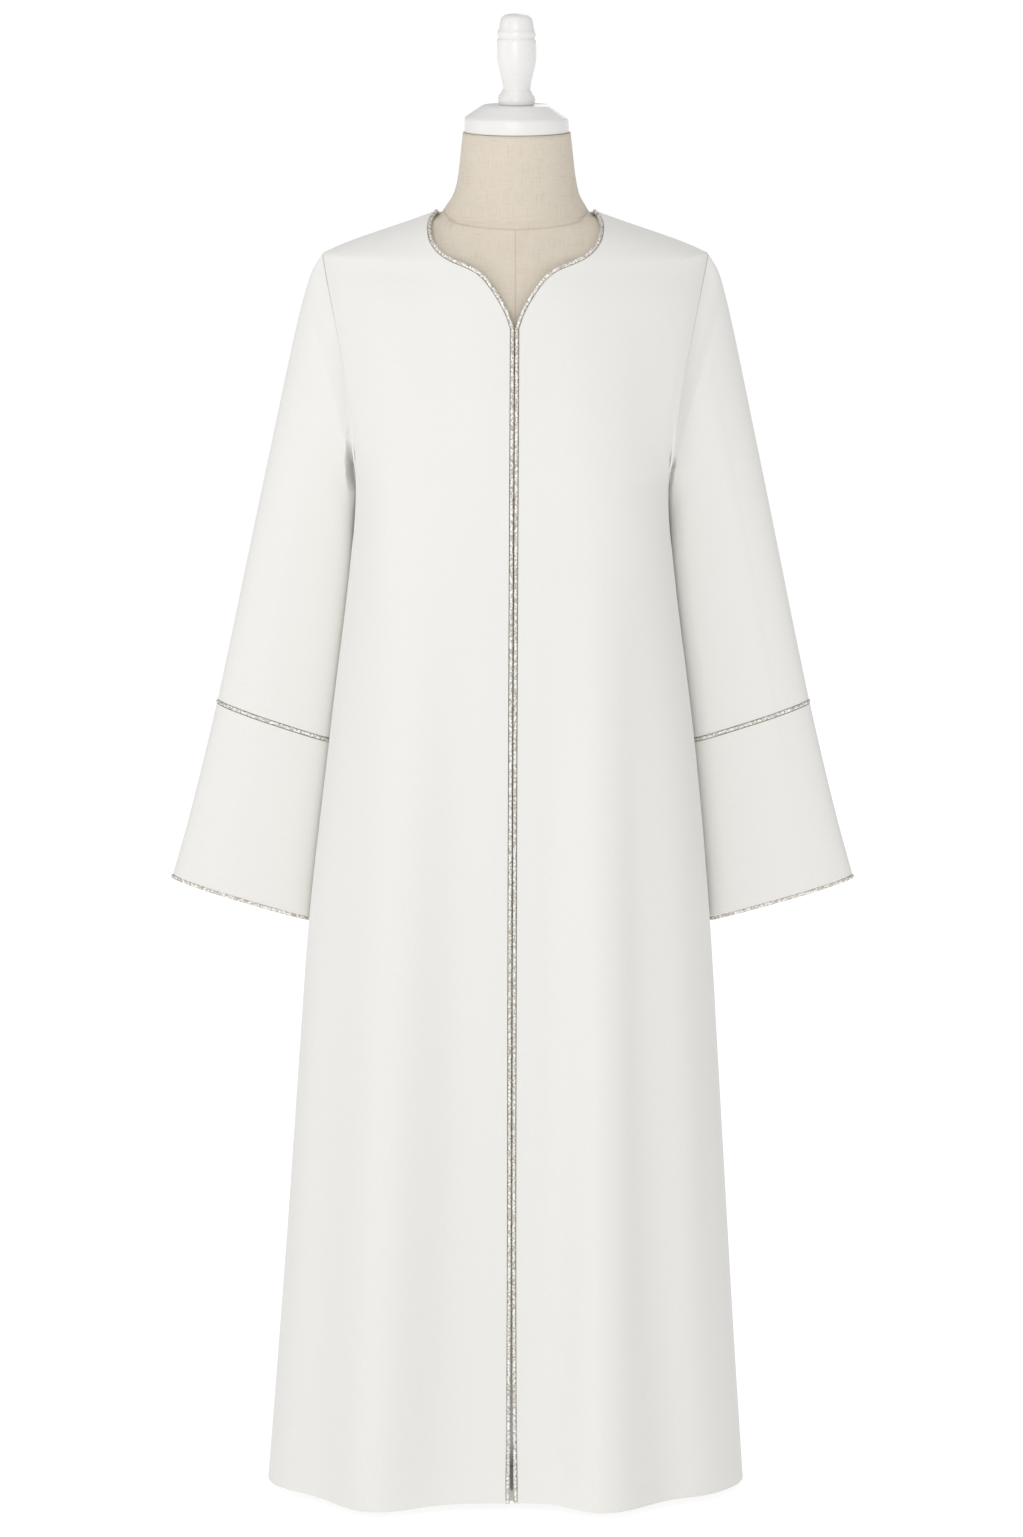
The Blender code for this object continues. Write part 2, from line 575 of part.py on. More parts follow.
# The dress form: one loft of level rings, closed at the hips and under the neck cap
rings = [form_ring(z) for z in FORM[:, 0]]
points = [p for ring in rings for p in ring]
faces = [list(range(FORM_POINTS))[::-1]]
for i in range(len(rings) - 1):
    for j in range(FORM_POINTS):
        a, b = i * FORM_POINTS + j, i * FORM_POINTS + (j + 1) % FORM_POINTS
        faces.append([a, b, b + FORM_POINTS, a + FORM_POINTS])
faces.append([(len(rings) - 1) * FORM_POINTS + j for j in range(FORM_POINTS)])
pieces.append((mesh_object("form_torso", points, faces, garment), "linen"))
pieces.append((turned("form_cap", CAP, 32, garment, (NECK_X, NECK_Y)), "cap"))
pieces.append((turned("form_finial", FINIAL, 24, garment, (NECK_X, NECK_Y)), "cap"))

# The stand: a round pole on a low round foot
bpy.ops.mesh.primitive_cylinder_add(vertices=24, radius=POLE_RADIUS, depth=POLE_TO - POLE_FROM,
                                    location=(0, NECK_Y, (POLE_TO + POLE_FROM) / 2))
pole = bpy.context.object
pole.name = pole.data.name = "stand_pole"
for holder in list(pole.users_collection):
    holder.objects.unlink(pole)
garment.objects.link(pole)
pieces.append((pole, "metal"))
pieces.append((turned("stand_base", BASE, 40, garment), "metal"))

LOOKS = {
    "cloth": ((0.83, 0.82, 0.80), 0.85, 0.0),
    "cord": ((0.55, 0.53, 0.50), 0.35, 1.0),
    "linen": ((0.66, 0.58, 0.48), 0.90, 0.0),
    "cap": ((0.80, 0.79, 0.77), 0.45, 0.0),
    "metal": ((0.60, 0.60, 0.60), 0.40, 1.0),
}
for obj, look in pieces:
    paint(obj, obj.name + "_material", *LOOKS[look])
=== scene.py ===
# The looks of a white abaya cloak worn by a linen dress form on a pole stand, built round its
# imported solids. Metres, +Z up; the cloak opens towards -Y and +X is the wearer's left side.
import math

import bpy
import numpy as np
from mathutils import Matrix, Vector


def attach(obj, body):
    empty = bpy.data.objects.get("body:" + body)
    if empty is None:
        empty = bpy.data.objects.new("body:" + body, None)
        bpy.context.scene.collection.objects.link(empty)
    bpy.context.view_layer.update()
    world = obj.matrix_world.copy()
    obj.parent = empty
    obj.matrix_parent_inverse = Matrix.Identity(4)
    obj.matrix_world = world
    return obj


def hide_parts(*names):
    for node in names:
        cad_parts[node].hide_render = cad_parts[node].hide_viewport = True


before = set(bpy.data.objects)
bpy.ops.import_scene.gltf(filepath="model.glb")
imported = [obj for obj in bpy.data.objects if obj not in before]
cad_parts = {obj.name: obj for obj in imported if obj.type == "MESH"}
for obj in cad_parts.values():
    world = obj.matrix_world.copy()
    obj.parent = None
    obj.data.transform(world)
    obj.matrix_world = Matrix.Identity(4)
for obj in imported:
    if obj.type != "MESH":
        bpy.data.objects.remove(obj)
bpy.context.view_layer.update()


# Stand foot. A round cast-iron plate, turned on its top and rim and spray-painted pale grey.
# It lies on the floor below the hem and carries the pole in its middle.
FOOT_PROFILE = (
    (0.0000, 0.0000), (0.0975, 0.0000), (0.0990, 0.0004), (0.0998, 0.0014), (0.1000, 0.0030),
    (0.1000, 0.0100), (0.0996, 0.0120), (0.0984, 0.0135), (0.0964, 0.0147), (0.0940, 0.0153),
    (0.0600, 0.0170), (0.0290, 0.0184), (0.0255, 0.0187), (0.0240, 0.0190), (0.0000, 0.0190),
)
FOOT_STEPS = 96          # steps round the plate
STAND_Y = 0.004          # the stand and the neck above it stand this far behind the middle


def closed_loft(name, rings):
    """A skin over level rings of points, closed at its bottom and top by a point in the middle."""
    rings = np.asarray(rings, float)
    levels, around = rings.shape[:2]
    points = np.concatenate((rings.reshape(-1, 3), [rings[0].mean(0), rings[-1].mean(0)]))
    below, above = levels * around, levels * around + 1
    faces = []
    for j in range(around):
        k = (j + 1) % around
        faces.append((below, k, j))
        faces += [(i * around + j, i * around + k, (i + 1) * around + k, (i + 1) * around + j)
                  for i in range(levels - 1)]
        faces.append((above, (levels - 1) * around + j, (levels - 1) * around + k))
    mesh = bpy.data.meshes.new(name)
    mesh.from_pydata(points.tolist(), [], faces)
    mesh.shade_smooth()
    made = bpy.data.objects.new(name, mesh)
    bpy.context.scene.collection.objects.link(made)
    return made


def turned(name, profile, steps, middle=(0.0, STAND_Y), crease=40):
    """A part turned on a lathe: level rings from a profile of radius and height."""
    turn = np.linspace(0, 2 * math.pi, steps, endpoint=False)
    rings = [np.stack((middle[0] + r * np.cos(turn), middle[1] + r * np.sin(turn),
                       np.full(steps, z)), axis=1) for r, z in profile if r > 0]
    made = closed_loft(name, rings)
    made.data.set_sharp_from_angle(angle=math.radians(crease))
    return made


def feed(tree, socket, value):
    """Links a node's output to a socket, or sets the socket to a plain value."""
    if isinstance(value, bpy.types.NodeSocket):
        tree.links.new(value, socket)
    else:
        socket.default_value = value


def add_node(tree, kind, settings=None, **sockets):
    """A new node with its settings and its sockets; _ stands for a space in a socket's name."""
    made = tree.nodes.new(kind)
    for name, value in (settings or {}).items():
        setattr(made, name, value)
    for name, value in sockets.items():
        feed(tree, made.inputs[name.replace("_", " ")], value)
    return made


def add_sum(tree, operation, *values):
    """The result of one arithmetic operation on these values."""
    made = add_node(tree, "ShaderNodeMath", {"operation": operation})
    for socket, value in zip(made.inputs, values):
        feed(tree, socket, value)
    return made.outputs[0]


class Finish:
    """A node material under way: makes nodes, links them and sets their sockets."""

    def __init__(self, name):
        self.material = bpy.data.materials.new(name)
        self.material.use_nodes = True
        self.tree = self.material.node_tree
        self.shader = self.tree.nodes["Principled BSDF"]

    def node(self, kind, settings=None, **sockets):
        return add_node(self.tree, "ShaderNode" + kind, settings, **sockets)

    def shade(self, **sockets):
        for name, value in sockets.items():
            feed(self.tree, self.shader.inputs[name.replace("_", " ")], value)

    def sums(self, operation, *values):
        return add_sum(self.tree, operation, *values)

    def between(self, value, low, high, start=0.0, end=1.0):
        made = self.node("MapRange", Value=value)
        for socket, number in zip(list(made.inputs)[1:5], (low, high, start, end)):
            socket.default_value = number
        return made.outputs["Result"]

    def mixed(self, share, first, second):
        made = self.tree.nodes.new("ShaderNodeMix")
        made.data_type = "RGBA"
        for socket, value in zip((made.inputs[0], made.inputs[6], made.inputs[7]),
                                 (share, first, second)):
            feed(self.tree, socket, value)
        return made.outputs[2]

    def noise(self, place, scale, detail=2.0, roughness=0.5):
        return self.node("TexNoise", Vector=place, Scale=scale, Detail=detail,
                         Roughness=roughness).outputs["Fac"]

    def place(self):
        return self.node("TexCoord").outputs["Object"]

    def bump(self, height, strength, distance):
        self.shade(Normal=self.node("Bump", Height=height, Strength=strength,
                                    Distance=distance).outputs["Normal"])


def put(piece, node, look):
    """Gives a piece its material, hangs it under the root body and hides the solid it stands for.
    """
    piece.data.materials.clear()
    piece.data.materials.append(look.material)
    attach(piece, "root")
    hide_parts(node)


foot_paint = Finish("foot_sprayed_grey_paint")
spot = foot_paint.place()
foot_paint.shade(Roughness=foot_paint.between(foot_paint.noise(spot, 60.0), 0.3, 0.7, 0.42, 0.55),
                 Base_Color=foot_paint.mixed(foot_paint.noise(spot, 9.0), (0.60, 0.60, 0.59, 1),
                                             (0.68, 0.68, 0.66, 1)))
foot_paint.bump(foot_paint.noise(spot, 900.0), 0.25, 0.0002)
put(turned("stand_foot", FOOT_PROFILE, FOOT_STEPS), "stand_base", foot_paint)


# Pole. A straight steel tube, brushed along its length and stood in the foot; its upper end
# goes into the form's hips.
POLE_RADIUS = 0.0125
POLE_FROM, POLE_TO = 0.0193, 0.7897
POLE_EDGE = 0.0008       # the tube's ends are eased by this
POLE_STEPS = 64

pole_profile = (
    (POLE_RADIUS - POLE_EDGE, POLE_FROM), (POLE_RADIUS, POLE_FROM + POLE_EDGE),
    (POLE_RADIUS, (POLE_FROM + POLE_TO) / 2),
    (POLE_RADIUS, POLE_TO - POLE_EDGE), (POLE_RADIUS - POLE_EDGE, POLE_TO),
)
brushed_steel = Finish("pole_brushed_steel")
spot = brushed_steel.node("Mapping", Vector=brushed_steel.place(), Scale=(900.0, 900.0, 6.0))
lines = brushed_steel.noise(spot.outputs[0], 1.0, 3.0)
brushed_steel.shade(Metallic=1.0, Roughness=brushed_steel.between(lines, 0.3, 0.7, 0.26, 0.42),
                    Base_Color=brushed_steel.mixed(lines, (0.50, 0.50, 0.50, 1),
                                                   (0.66, 0.66, 0.65, 1)))
brushed_steel.bump(lines, 0.2, 0.0001)
put(turned("pole", pole_profile, POLE_STEPS), "stand_pole", brushed_steel)


# Dress form. A padded torso and neck without arms, covered in natural linen that is cut in
# panels and sewn: a seam down the middle in front and behind, and one round the neck's foot.
# Height, half width, front, back, middle in y, squareness
FORM = np.array((
    (0.790, 0.128, 0.085, 0.088, 0.006, 2.3),
    (0.800, 0.137, 0.092, 0.094, 0.006, 2.3),
    (0.860, 0.149, 0.101, 0.098, 0.004, 2.3),
    (0.930, 0.137, 0.094, 0.088, 0.003, 2.2),
    (0.990, 0.119, 0.085, 0.079, 0.002, 2.2),
    (1.050, 0.128, 0.098, 0.086, 0.001, 2.2),
    (1.110, 0.146, 0.117, 0.096, 0.000, 2.2),
    (1.160, 0.153, 0.123, 0.102, 0.000, 2.2),
    (1.210, 0.160, 0.118, 0.104, 0.000, 2.1),
    (1.260, 0.168, 0.108, 0.102, 0.000, 2.0),
    (1.300, 0.178, 0.099, 0.094, 0.000, 1.80),
    (1.325, 0.1855, 0.0910, 0.0870, 0.000, 1.60),
    (1.3410, 0.1890, 0.0850, 0.0810, 0.000, 1.50),
    (1.3480, 0.1930, 0.0820, 0.0775, 0.000, 1.50),
    (1.3500, 0.1890, 0.0810, 0.0765, 0.000, 1.50),
    (1.3600, 0.1616, 0.0750, 0.0715, 0.000, 1.51),
    (1.3700, 0.1345, 0.0700, 0.0670, 0.000, 1.53),
    (1.3790, 0.1098, 0.0663, 0.0640, 0.000, 1.58),
    (1.3835, 0.0942, 0.0643, 0.0628, 0.001, 1.66),
    (1.3860, 0.0838, 0.0638, 0.0624, 0.002, 1.76),
    (1.3900, 0.0790, 0.0635, 0.0625, 0.003, 1.95),
    (1.3970, 0.0745, 0.0640, 0.0640, 0.004, 2.0),
    (1.4090, 0.0675, 0.0610, 0.0610, 0.004, 2.0),
    (1.4270, 0.0631, 0.0590, 0.0590, 0.004, 2.0),
    (1.4520, 0.0602, 0.0577, 0.0577, 0.004, 2.0),
    (1.4752, 0.0577, 0.0565, 0.0565, 0.004, 2.0),
))
FORM_AROUND = 180
LEVELS_BETWEEN = 5       # levels of the skin between two rows of the table
FORM_X, NECK_X = 0.0005, 0.0018    # middle of the torso and of the neck in x
NECK_LEAN_Z, NECK_LEAN_RISE = 1.39, 0.03  # where the one goes over to the other, and in what height
# Seam round the foot of the neck: height in front, and how far it climbs to the sides
NECK_SEAM_Z, NECK_SEAM_CLIMB = 1.3772, 0.036


def smooth(knots, values, at):
    """Values at `at` on a curve through the knots that never swings past them."""
    order = np.argsort(knots)
    x, y = np.asarray(knots)[order], np.asarray(values)[order]
    h, d = np.diff(x), np.diff(y) / np.diff(x)
    m = np.zeros(len(x))
    m[0], m[-1] = d[0], d[-1]
    for i in range(1, len(x) - 1):
        if d[i - 1] * d[i] > 0:
            a, b = 2 * h[i] + h[i - 1], h[i] + 2 * h[i - 1]
            m[i] = (a + b) / (a / d[i - 1] + b / d[i])
    at = np.clip(at, x[0], x[-1])
    i = np.clip(np.searchsorted(x, at) - 1, 0, len(h) - 1)
    t = (at - x[i]) / h[i]
    return ((1 + 2 * t) * (1 - t) ** 2 * y[i] + t * (1 - t) ** 2 * h[i] * m[i]
            + t * t * (3 - 2 * t) * y[i + 1] + t * t * (t - 1) * h[i] * m[i + 1])


def between_rows(values, parts):
    """The values with `parts` even steps between each two."""
    values = np.asarray(values, float)
    at = np.arange((len(values) - 1) * parts + 1) / parts
    return np.interp(at, np.arange(len(values)), values)


turn = np.linspace(0, 2 * math.pi, FORM_AROUND, endpoint=False) - math.pi / 2
levels = between_rows(FORM[:, 0], LEVELS_BETWEEN)
form_rings = np.zeros((len(levels), FORM_AROUND, 3))
for ring, z in zip(form_rings, levels):
    half_width, front, behind, middle_y, power = (
        float(smooth(FORM[:, 0], FORM[:, c], z)) for c in range(1, 6))
    middle_x = FORM_X + (NECK_X - FORM_X) * min(max((z - NECK_LEAN_Z) / NECK_LEAN_RISE, 0), 1)
    c, s = np.cos(turn), np.sin(turn)
    ring[:, 0] = middle_x + half_width * np.sign(c) * np.abs(c) ** (2 / power)
    ring[:, 1] = middle_y + np.where(s > 0, behind, front) * np.sign(s) * np.abs(s) ** (2 / power)
    ring[:, 2] = z
form = closed_loft("dress_form", form_rings)

# The weave and the seams follow the skin: how far round from the middle of the front, how far
# up, and how far from the seam at the foot of the neck, all in metres.
step = np.linalg.norm(np.diff(form_rings, axis=1, append=form_rings[:, :1]), axis=2)
round_run = np.concatenate((np.zeros((len(levels), 1)), np.cumsum(step, axis=1)), axis=1)
half_round = round_run[:, -1:] / 2
round_run = np.where(round_run > half_round, round_run - 2 * half_round, round_run)[:, :-1]
up_run = np.concatenate(([0.0], np.cumsum(np.linalg.norm(
    np.diff(form_rings[:, 0], axis=0), axis=1))))
climb = 1 - np.cos(turn + math.pi / 2)
from_neck_seam = form_rings[:, :, 2] - (NECK_SEAM_Z + NECK_SEAM_CLIMB / 2 * climb)


FAR_OFF = 0.2            # distance that the two points which close the skin are given


def seam_line(name, values):
    """Keeps a distance at each point of the form's skin, for its material."""
    line = form.data.attributes.new(name, "FLOAT", "POINT")
    line.data.foreach_set("value", np.append(values.ravel(), (FAR_OFF, FAR_OFF)).astype(np.float32))


seam_line("round", round_run)
seam_line("up", np.repeat(up_run[:, None], FORM_AROUND, axis=1))
seam_line("neck_seam", from_neck_seam)

THREAD = 0.0011          # a linen thread and the space beside it
SLUB = 60.0              # slubs to the metre along a thread
GROOVE = (0.0003, 0.0011)  # a seam's groove is full within the first distance, gone at the second
CROSSING = 0.0004        # the front seam ends within this distance of the neck seam
linen = Finish("form_natural_linen")


def kept(look, name):
    return look.node("Attribute", {"attribute_name": name}).outputs["Fac"]


across, upward, neck_run = kept(linen, "round"), kept(linen, "up"), kept(linen, "neck_seam")
grain = linen.node("CombineXYZ", X=across, Y=upward, Z=0.0).outputs[0]
long_warp = linen.node("Mapping", Vector=grain, Scale=(1 / THREAD, SLUB, 1.0)).outputs[0]
long_weft = linen.node("Mapping", Vector=grain, Scale=(SLUB, 1 / THREAD, 1.0)).outputs[0]
slubs = linen.sums("MAXIMUM", linen.noise(long_warp, 1.0, 2.0), linen.noise(long_weft, 1.0, 2.0))
ribs = [linen.sums("SINE", linen.sums("MULTIPLY", run, 2 * math.pi / THREAD))
        for run in (across, upward)]
weave = linen.between(linen.sums("MULTIPLY", *ribs), -1.0, 1.0)
# Below the neck seam the cover has a seam down the middle; each seam is a fine pressed groove, and
# the linen's colour is darkened along it as painted shade.
below_neck = linen.between(neck_run, -CROSSING, CROSSING, 1.0, 0.0)
middle_groove, neck_groove = (
    linen.between(linen.sums("ABSOLUTE", run), *GROOVE, 1.0, 0.0) for run in (across, neck_run))
groove = linen.sums("MAXIMUM", linen.sums("MULTIPLY", below_neck, middle_groove), neck_groove)
thread_tint = linen.mixed(linen.between(slubs, 0.52, 0.78), (0.705, 0.635, 0.535, 1),
                          (0.60, 0.52, 0.415, 1))
blotch = linen.mixed(linen.between(linen.noise(grain, 55.0, 3.0), 0.35, 0.65, 0.0, 0.35),
                     thread_tint, (0.735, 0.66, 0.555, 1))
# Painted shade: the linen's colour is darkened towards dark brown along the seams' grooves.
linen.shade(Base_Color=linen.mixed(linen.sums("MULTIPLY", groove, 0.30), blotch,
                                   (0.36, 0.28, 0.20, 1)),
            Roughness=0.88, Specular_IOR_Level=0.25, Sheen_Weight=0.12, Sheen_Roughness=0.5)
relief = linen.sums("SUBTRACT", linen.sums("MULTIPLY_ADD", slubs, 0.8, weave),
                    linen.sums("MULTIPLY", groove, 2.5))
linen.bump(relief, 0.45, 0.00035)
put(form, "form_torso", linen)


# Neck cap. A shallow turned wooden lid on the cut end of the neck, with a lip that overhangs
# the linen and a sloping top, lacquered off-white.
CAP_PROFILE = (
    (0.0535, 1.4755), (0.0550, 1.4757), (0.0556, 1.4763), (0.0558, 1.4772), (0.0558, 1.4894),
    (0.0556, 1.4908), (0.0549, 1.4918), (0.0538, 1.4928), (0.0395, 1.5022), (0.0378, 1.5034),
    (0.0355, 1.5045),
)

CAP_STEPS, CAP_CREASE = 128, 30    # steps round it; degrees from which an edge shows as sharp
STROKES = (60.0, 60.0, 900.0)      # brush strokes to the metre along X and Y, and up


def lacquered(name, pale, warm, gloss, coat, relief):
    """Lacquer brushed on turned wood, with faint strokes round the piece."""
    look = Finish(name)
    spot = look.place()
    round_the_piece = look.node("Mapping", Vector=spot, Scale=STROKES).outputs[0]
    strokes = look.noise(round_the_piece, 1.0, 3.0)
    look.shade(Base_Color=look.mixed(look.between(strokes, 0.3, 0.7, 0.0, 0.6), pale, warm),
               Roughness=look.between(look.noise(spot, 140.0), 0.3, 0.7, *gloss),
               Coat_Weight=coat[0], Coat_Roughness=coat[1])
    look.bump(strokes, relief, 0.0002)
    return look


put(turned("neck_cap", CAP_PROFILE, CAP_STEPS, (NECK_X, STAND_Y), CAP_CREASE),
    "form_cap",
    lacquered("neck_cap_lacquer", (0.815, 0.805, 0.79, 1), (0.775, 0.76, 0.735, 1),
              (0.30, 0.40), (0.25, 0.2), 0.12))


# Finial. The knob that the form is lifted by, turned from one piece of wood: a foot bead, a
# waist, a body that swells upwards, and a lid-shaped top set off by a groove.
FINIAL_PROFILE = (
    (0.0180, 1.5048), (0.0194, 1.5068), (0.0200, 1.5105), (0.0194, 1.5142),
    (0.0172, 1.5172), (0.0161, 1.5195), (0.0148, 1.5215), (0.0150, 1.5250), (0.0166, 1.5330),
    (0.0183, 1.5400), (0.0201, 1.5475), (0.0211, 1.5560), (0.0213, 1.5660), (0.0211, 1.5745),
    (0.0198, 1.5760), (0.0198, 1.5774), (0.0207, 1.5788), (0.0207, 1.5822), (0.0190, 1.5860),
    (0.0182, 1.5920), (0.0165, 1.5975), (0.0120, 1.6008), (0.0060, 1.6018), (0.0015, 1.6020),
)
FINIAL_PARTS = 4         # steps of the lathe's cut between two points of the profile
FINIAL_STEPS, FINIAL_CREASE = 96, 50


def rounded(profile, parts):
    """The profile with its points joined by a smooth cut."""
    profile = np.asarray(profile)
    run = np.concatenate(([0.0], np.cumsum(np.hypot(*np.diff(profile, axis=0).T))))
    at = between_rows(run, parts)
    return np.stack([smooth(run, profile[:, c], at) for c in (0, 1)], axis=1)


put(turned("finial", rounded(FINIAL_PROFILE, FINIAL_PARTS), FINIAL_STEPS, (NECK_X, STAND_Y),
           FINIAL_CREASE),
    "form_finial",
    lacquered("finial_lacquer", (0.82, 0.81, 0.795, 1), (0.78, 0.765, 0.745, 1),
              (0.26, 0.36), (0.3, 0.15), 0.1))


# Back of the cloak. One width of matt ivory crepe, cut whole, wide at the hem and shaped at
# the armholes and neck; it hangs from the shoulders in long folds.
SHEET = 0.0010           # thickness of the crepe
SHARP_FOLD = 55          # degrees from which an edge of the cloth shows as sharp
SEAM = 0.0003            # space between two pieces at a seam
HEM_Z = 0.008
NECK_Z, SHOULDER_Z, ARMPIT_Z = 1.3909, 1.3455, 1.107
SKIRT_ROWS, ARM_ROWS = 44, 60
SHOULDER_COLUMNS, BACK_NECK_COLUMNS, FRONT_NECK_COLUMNS = 18, 24, 36
SKIRT_CLOSER, ARM_CLOSER = 0.18, 1.5  # how much closer rows lie at the top of skirt and armhole
CHEST_DROP = 0.06        # along the middle the rows of the armhole start this far lower
QUARTER_POINTS = 161
CREASE_ENDS = 0.7        # power of a crease's height along its length; below 1 its ends are blunt

# The cloak's body as level sections, top to hem.
# Height, half width, depth in front, depth behind, middle in x, squareness
BODY = np.array((
    (1.3915, 0.0860, 0.068, 0.070, 0.0005, 1.70),
    (1.3870, 0.0978, 0.073, 0.075, 0.0005, 1.62),
    (1.3495, 0.1997, 0.092, 0.090, 0.0003, 1.50),
    (1.3455, 0.2065, 0.094, 0.092, 0.0003, 1.50),
    (1.3080, 0.2065, 0.106, 0.101, 0.0000, 1.75),
    (1.2670, 0.2035, 0.116, 0.107, 0.0000, 1.95),
    (1.2260, 0.1990, 0.124, 0.111, -0.0005, 2.10),
    (1.1900, 0.1930, 0.129, 0.112, -0.0010, 2.25),
    (1.1450, 0.1830, 0.131, 0.112, -0.0020, 2.50),
    (1.1150, 0.1700, 0.131, 0.111, -0.0025, 2.85),
    (1.1070, 0.1655, 0.131, 0.111, -0.0030, 2.90),
    (1.0130, 0.1737, 0.130, 0.110, -0.0035, 2.60),
    (0.8246, 0.1965, 0.130, 0.114, -0.0035, 2.45),
    (0.6222, 0.2170, 0.132, 0.119, -0.0060, 2.40),
    (0.4683, 0.2274, 0.133, 0.123, -0.0070, 2.40),
    (0.3136, 0.2374, 0.135, 0.128, -0.0079, 2.40),
    (0.1583, 0.2480, 0.137, 0.132, -0.0092, 2.40),
    (0.0080, 0.2590, 0.139, 0.136, -0.0103, 2.40),
))
# Long folds, none at their top and full at the hem.
# Face (-1 front, 1 back), x at top, x at hem, top height, depth at hem, width to -X, to +X
FOLDS = (
    (-1, -0.118, -0.1600, 1.170, 0.0570, 0.042, 0.064),
    (-1, 0.098, 0.0980, 1.160, 0.0540, 0.045, 0.054),
    (-1, 0.150, 0.2060, 0.900, 0.0090, 0.030, 0.026),
    (1, -0.090, -0.1350, 1.150, 0.0480, 0.046, 0.056),
    (1, 0.085, 0.1150, 1.180, 0.0510, 0.052, 0.044),
    (1, -0.010, -0.0100, 0.800, 0.0160, 0.030, 0.034),
)
FOLD_TOP_WIDTH = 0.75    # a fold's width at its top, as a share of that at the hem
FOLD_DEEPENS, FOLD_ROUND, SIDE_FLAT = 1.15, 2.3, 10  # powers of its depth, its section and its end
# Edge of the back neckline from the middle of the back: distance from the middle, height
BACK_NECK = np.array((
    (0.0000, 1.3812), (0.0300, 1.3815), (0.0600, 1.3824), (0.0800, 1.3844),
    (0.0880, 1.3872), (0.0876, 1.3909),
))
# Armhole behind, from the armpit to the shoulder: distance from the middle, height
BACK_ARMHOLE = np.array((
    (0.1655, 1.1070), (0.1680, 1.1180), (0.1725, 1.1450), (0.1765, 1.1700),
    (0.1800, 1.1920), (0.1850, 1.2260), (0.1920, 1.2670), (0.2000, 1.3080),
    (0.2040, 1.3270), (0.2065, 1.3455),
))


def sections(z, face):
    """Half width, depth, middle and squareness of the body at these heights, on one face."""
    return [smooth(BODY[:, 0], BODY[:, c], z) for c in (1, 2 if face < 0 else 3, 4, 5)]


def quarter(half_width, depth, power):
    """A quarter of a squared ellipse from its middle to its side, and the share of its length."""
    turned_by = np.linspace(0, math.pi / 2, QUARTER_POINTS)
    x = half_width * np.sin(turned_by) ** (2 / power)
    y = depth * np.cos(turned_by) ** (2 / power)
    run = np.concatenate(([0.0], np.cumsum(np.hypot(np.diff(x), np.diff(y)))))
    return x, y, run / run[-1]


def share_of(x, z, face):
    """How far round from the middle (0) to the side (1) a point x from the middle lies."""
    half_width, depth, _, power = sections(z, face)
    xs, _, share = quarter(half_width, depth, power)
    return float(np.interp(x, xs, share))


def fold_depth(x, z, face, share):
    """How far the long folds carry the cloth out."""
    out = np.zeros_like(z)
    for row_face, x_top, x_hem, top, depth, to_left, to_right in FOLDS:
        if row_face == face:
            fall = np.clip((top - z) / (top - HEM_Z), 0, None)
            middle = x_top + (x_hem - x_top) * fall
            width = (np.where(x < middle, to_left, to_right)
                     * (FOLD_TOP_WIDTH + (1 - FOLD_TOP_WIDTH) * fall))
            section = np.exp(-np.abs((x - middle) / width) ** FOLD_ROUND)
            out += depth * fall ** FOLD_DEEPENS * section
    return out * (1 - share ** SIDE_FLAT)


def body_points(share, z, side, face):
    """Points of the cloak's outer face: side -1 or 1 in x, face -1 front or 1 back."""
    half_width, depth, middle, power = sections(z, face)
    flat = np.zeros(z.shape + (2,))
    for place in np.ndindex(z.shape):
        xs, ys, shares = quarter(half_width[place], depth[place], power[place])
        flat[place] = np.interp(share[place], shares, xs), np.interp(share[place], shares, ys)
    x = middle + side * flat[..., 0]
    y = face * (flat[..., 1] + fold_depth(x, z, face, share))
    return np.stack((x, y, z), axis=-1)


def towards_top(count):
    """Shares of the way from 0 to 1, closer together towards 1."""
    return 1 - (1 - np.linspace(0, 1, count + 1)) ** ARM_CLOSER


def spaced(path, shares):
    """Points along a path at these shares of its length."""
    path = np.asarray(path, float)
    run = np.concatenate(([0.0], np.cumsum(np.linalg.norm(np.diff(path, axis=0), axis=1))))
    return np.stack([smooth(run, path[:, c], np.asarray(shares) * run[-1])
                     for c in range(path.shape[1])], axis=1)


def rows_up(low, high, count):
    """Heights from hem upwards, closer together towards the top."""
    t = np.linspace(0, 1, count + 1)
    return low + (high - low) * ((1 + SKIRT_CLOSER) * t - SKIRT_CLOSER * t * t)


def armhole_rows(armhole, side, face):
    """Shares and heights up the armhole, spaced along the edge itself, under the arm too."""
    fine = spaced(armhole, np.linspace(0, 1, 4 * ARM_ROWS + 1))
    shares = np.array([share_of(x, z, face) for x, z in fine])
    shares[0] = shares[-1] = 1.0
    points = body_points(shares, fine[:, 1], side, face)
    run = np.concatenate(([0.0], np.cumsum(np.linalg.norm(np.diff(points, axis=0), axis=1))))
    at = towards_top(ARM_ROWS) * run[-1]
    return list(zip(np.interp(at, run, shares), np.interp(at, run, fine[:, 1])))


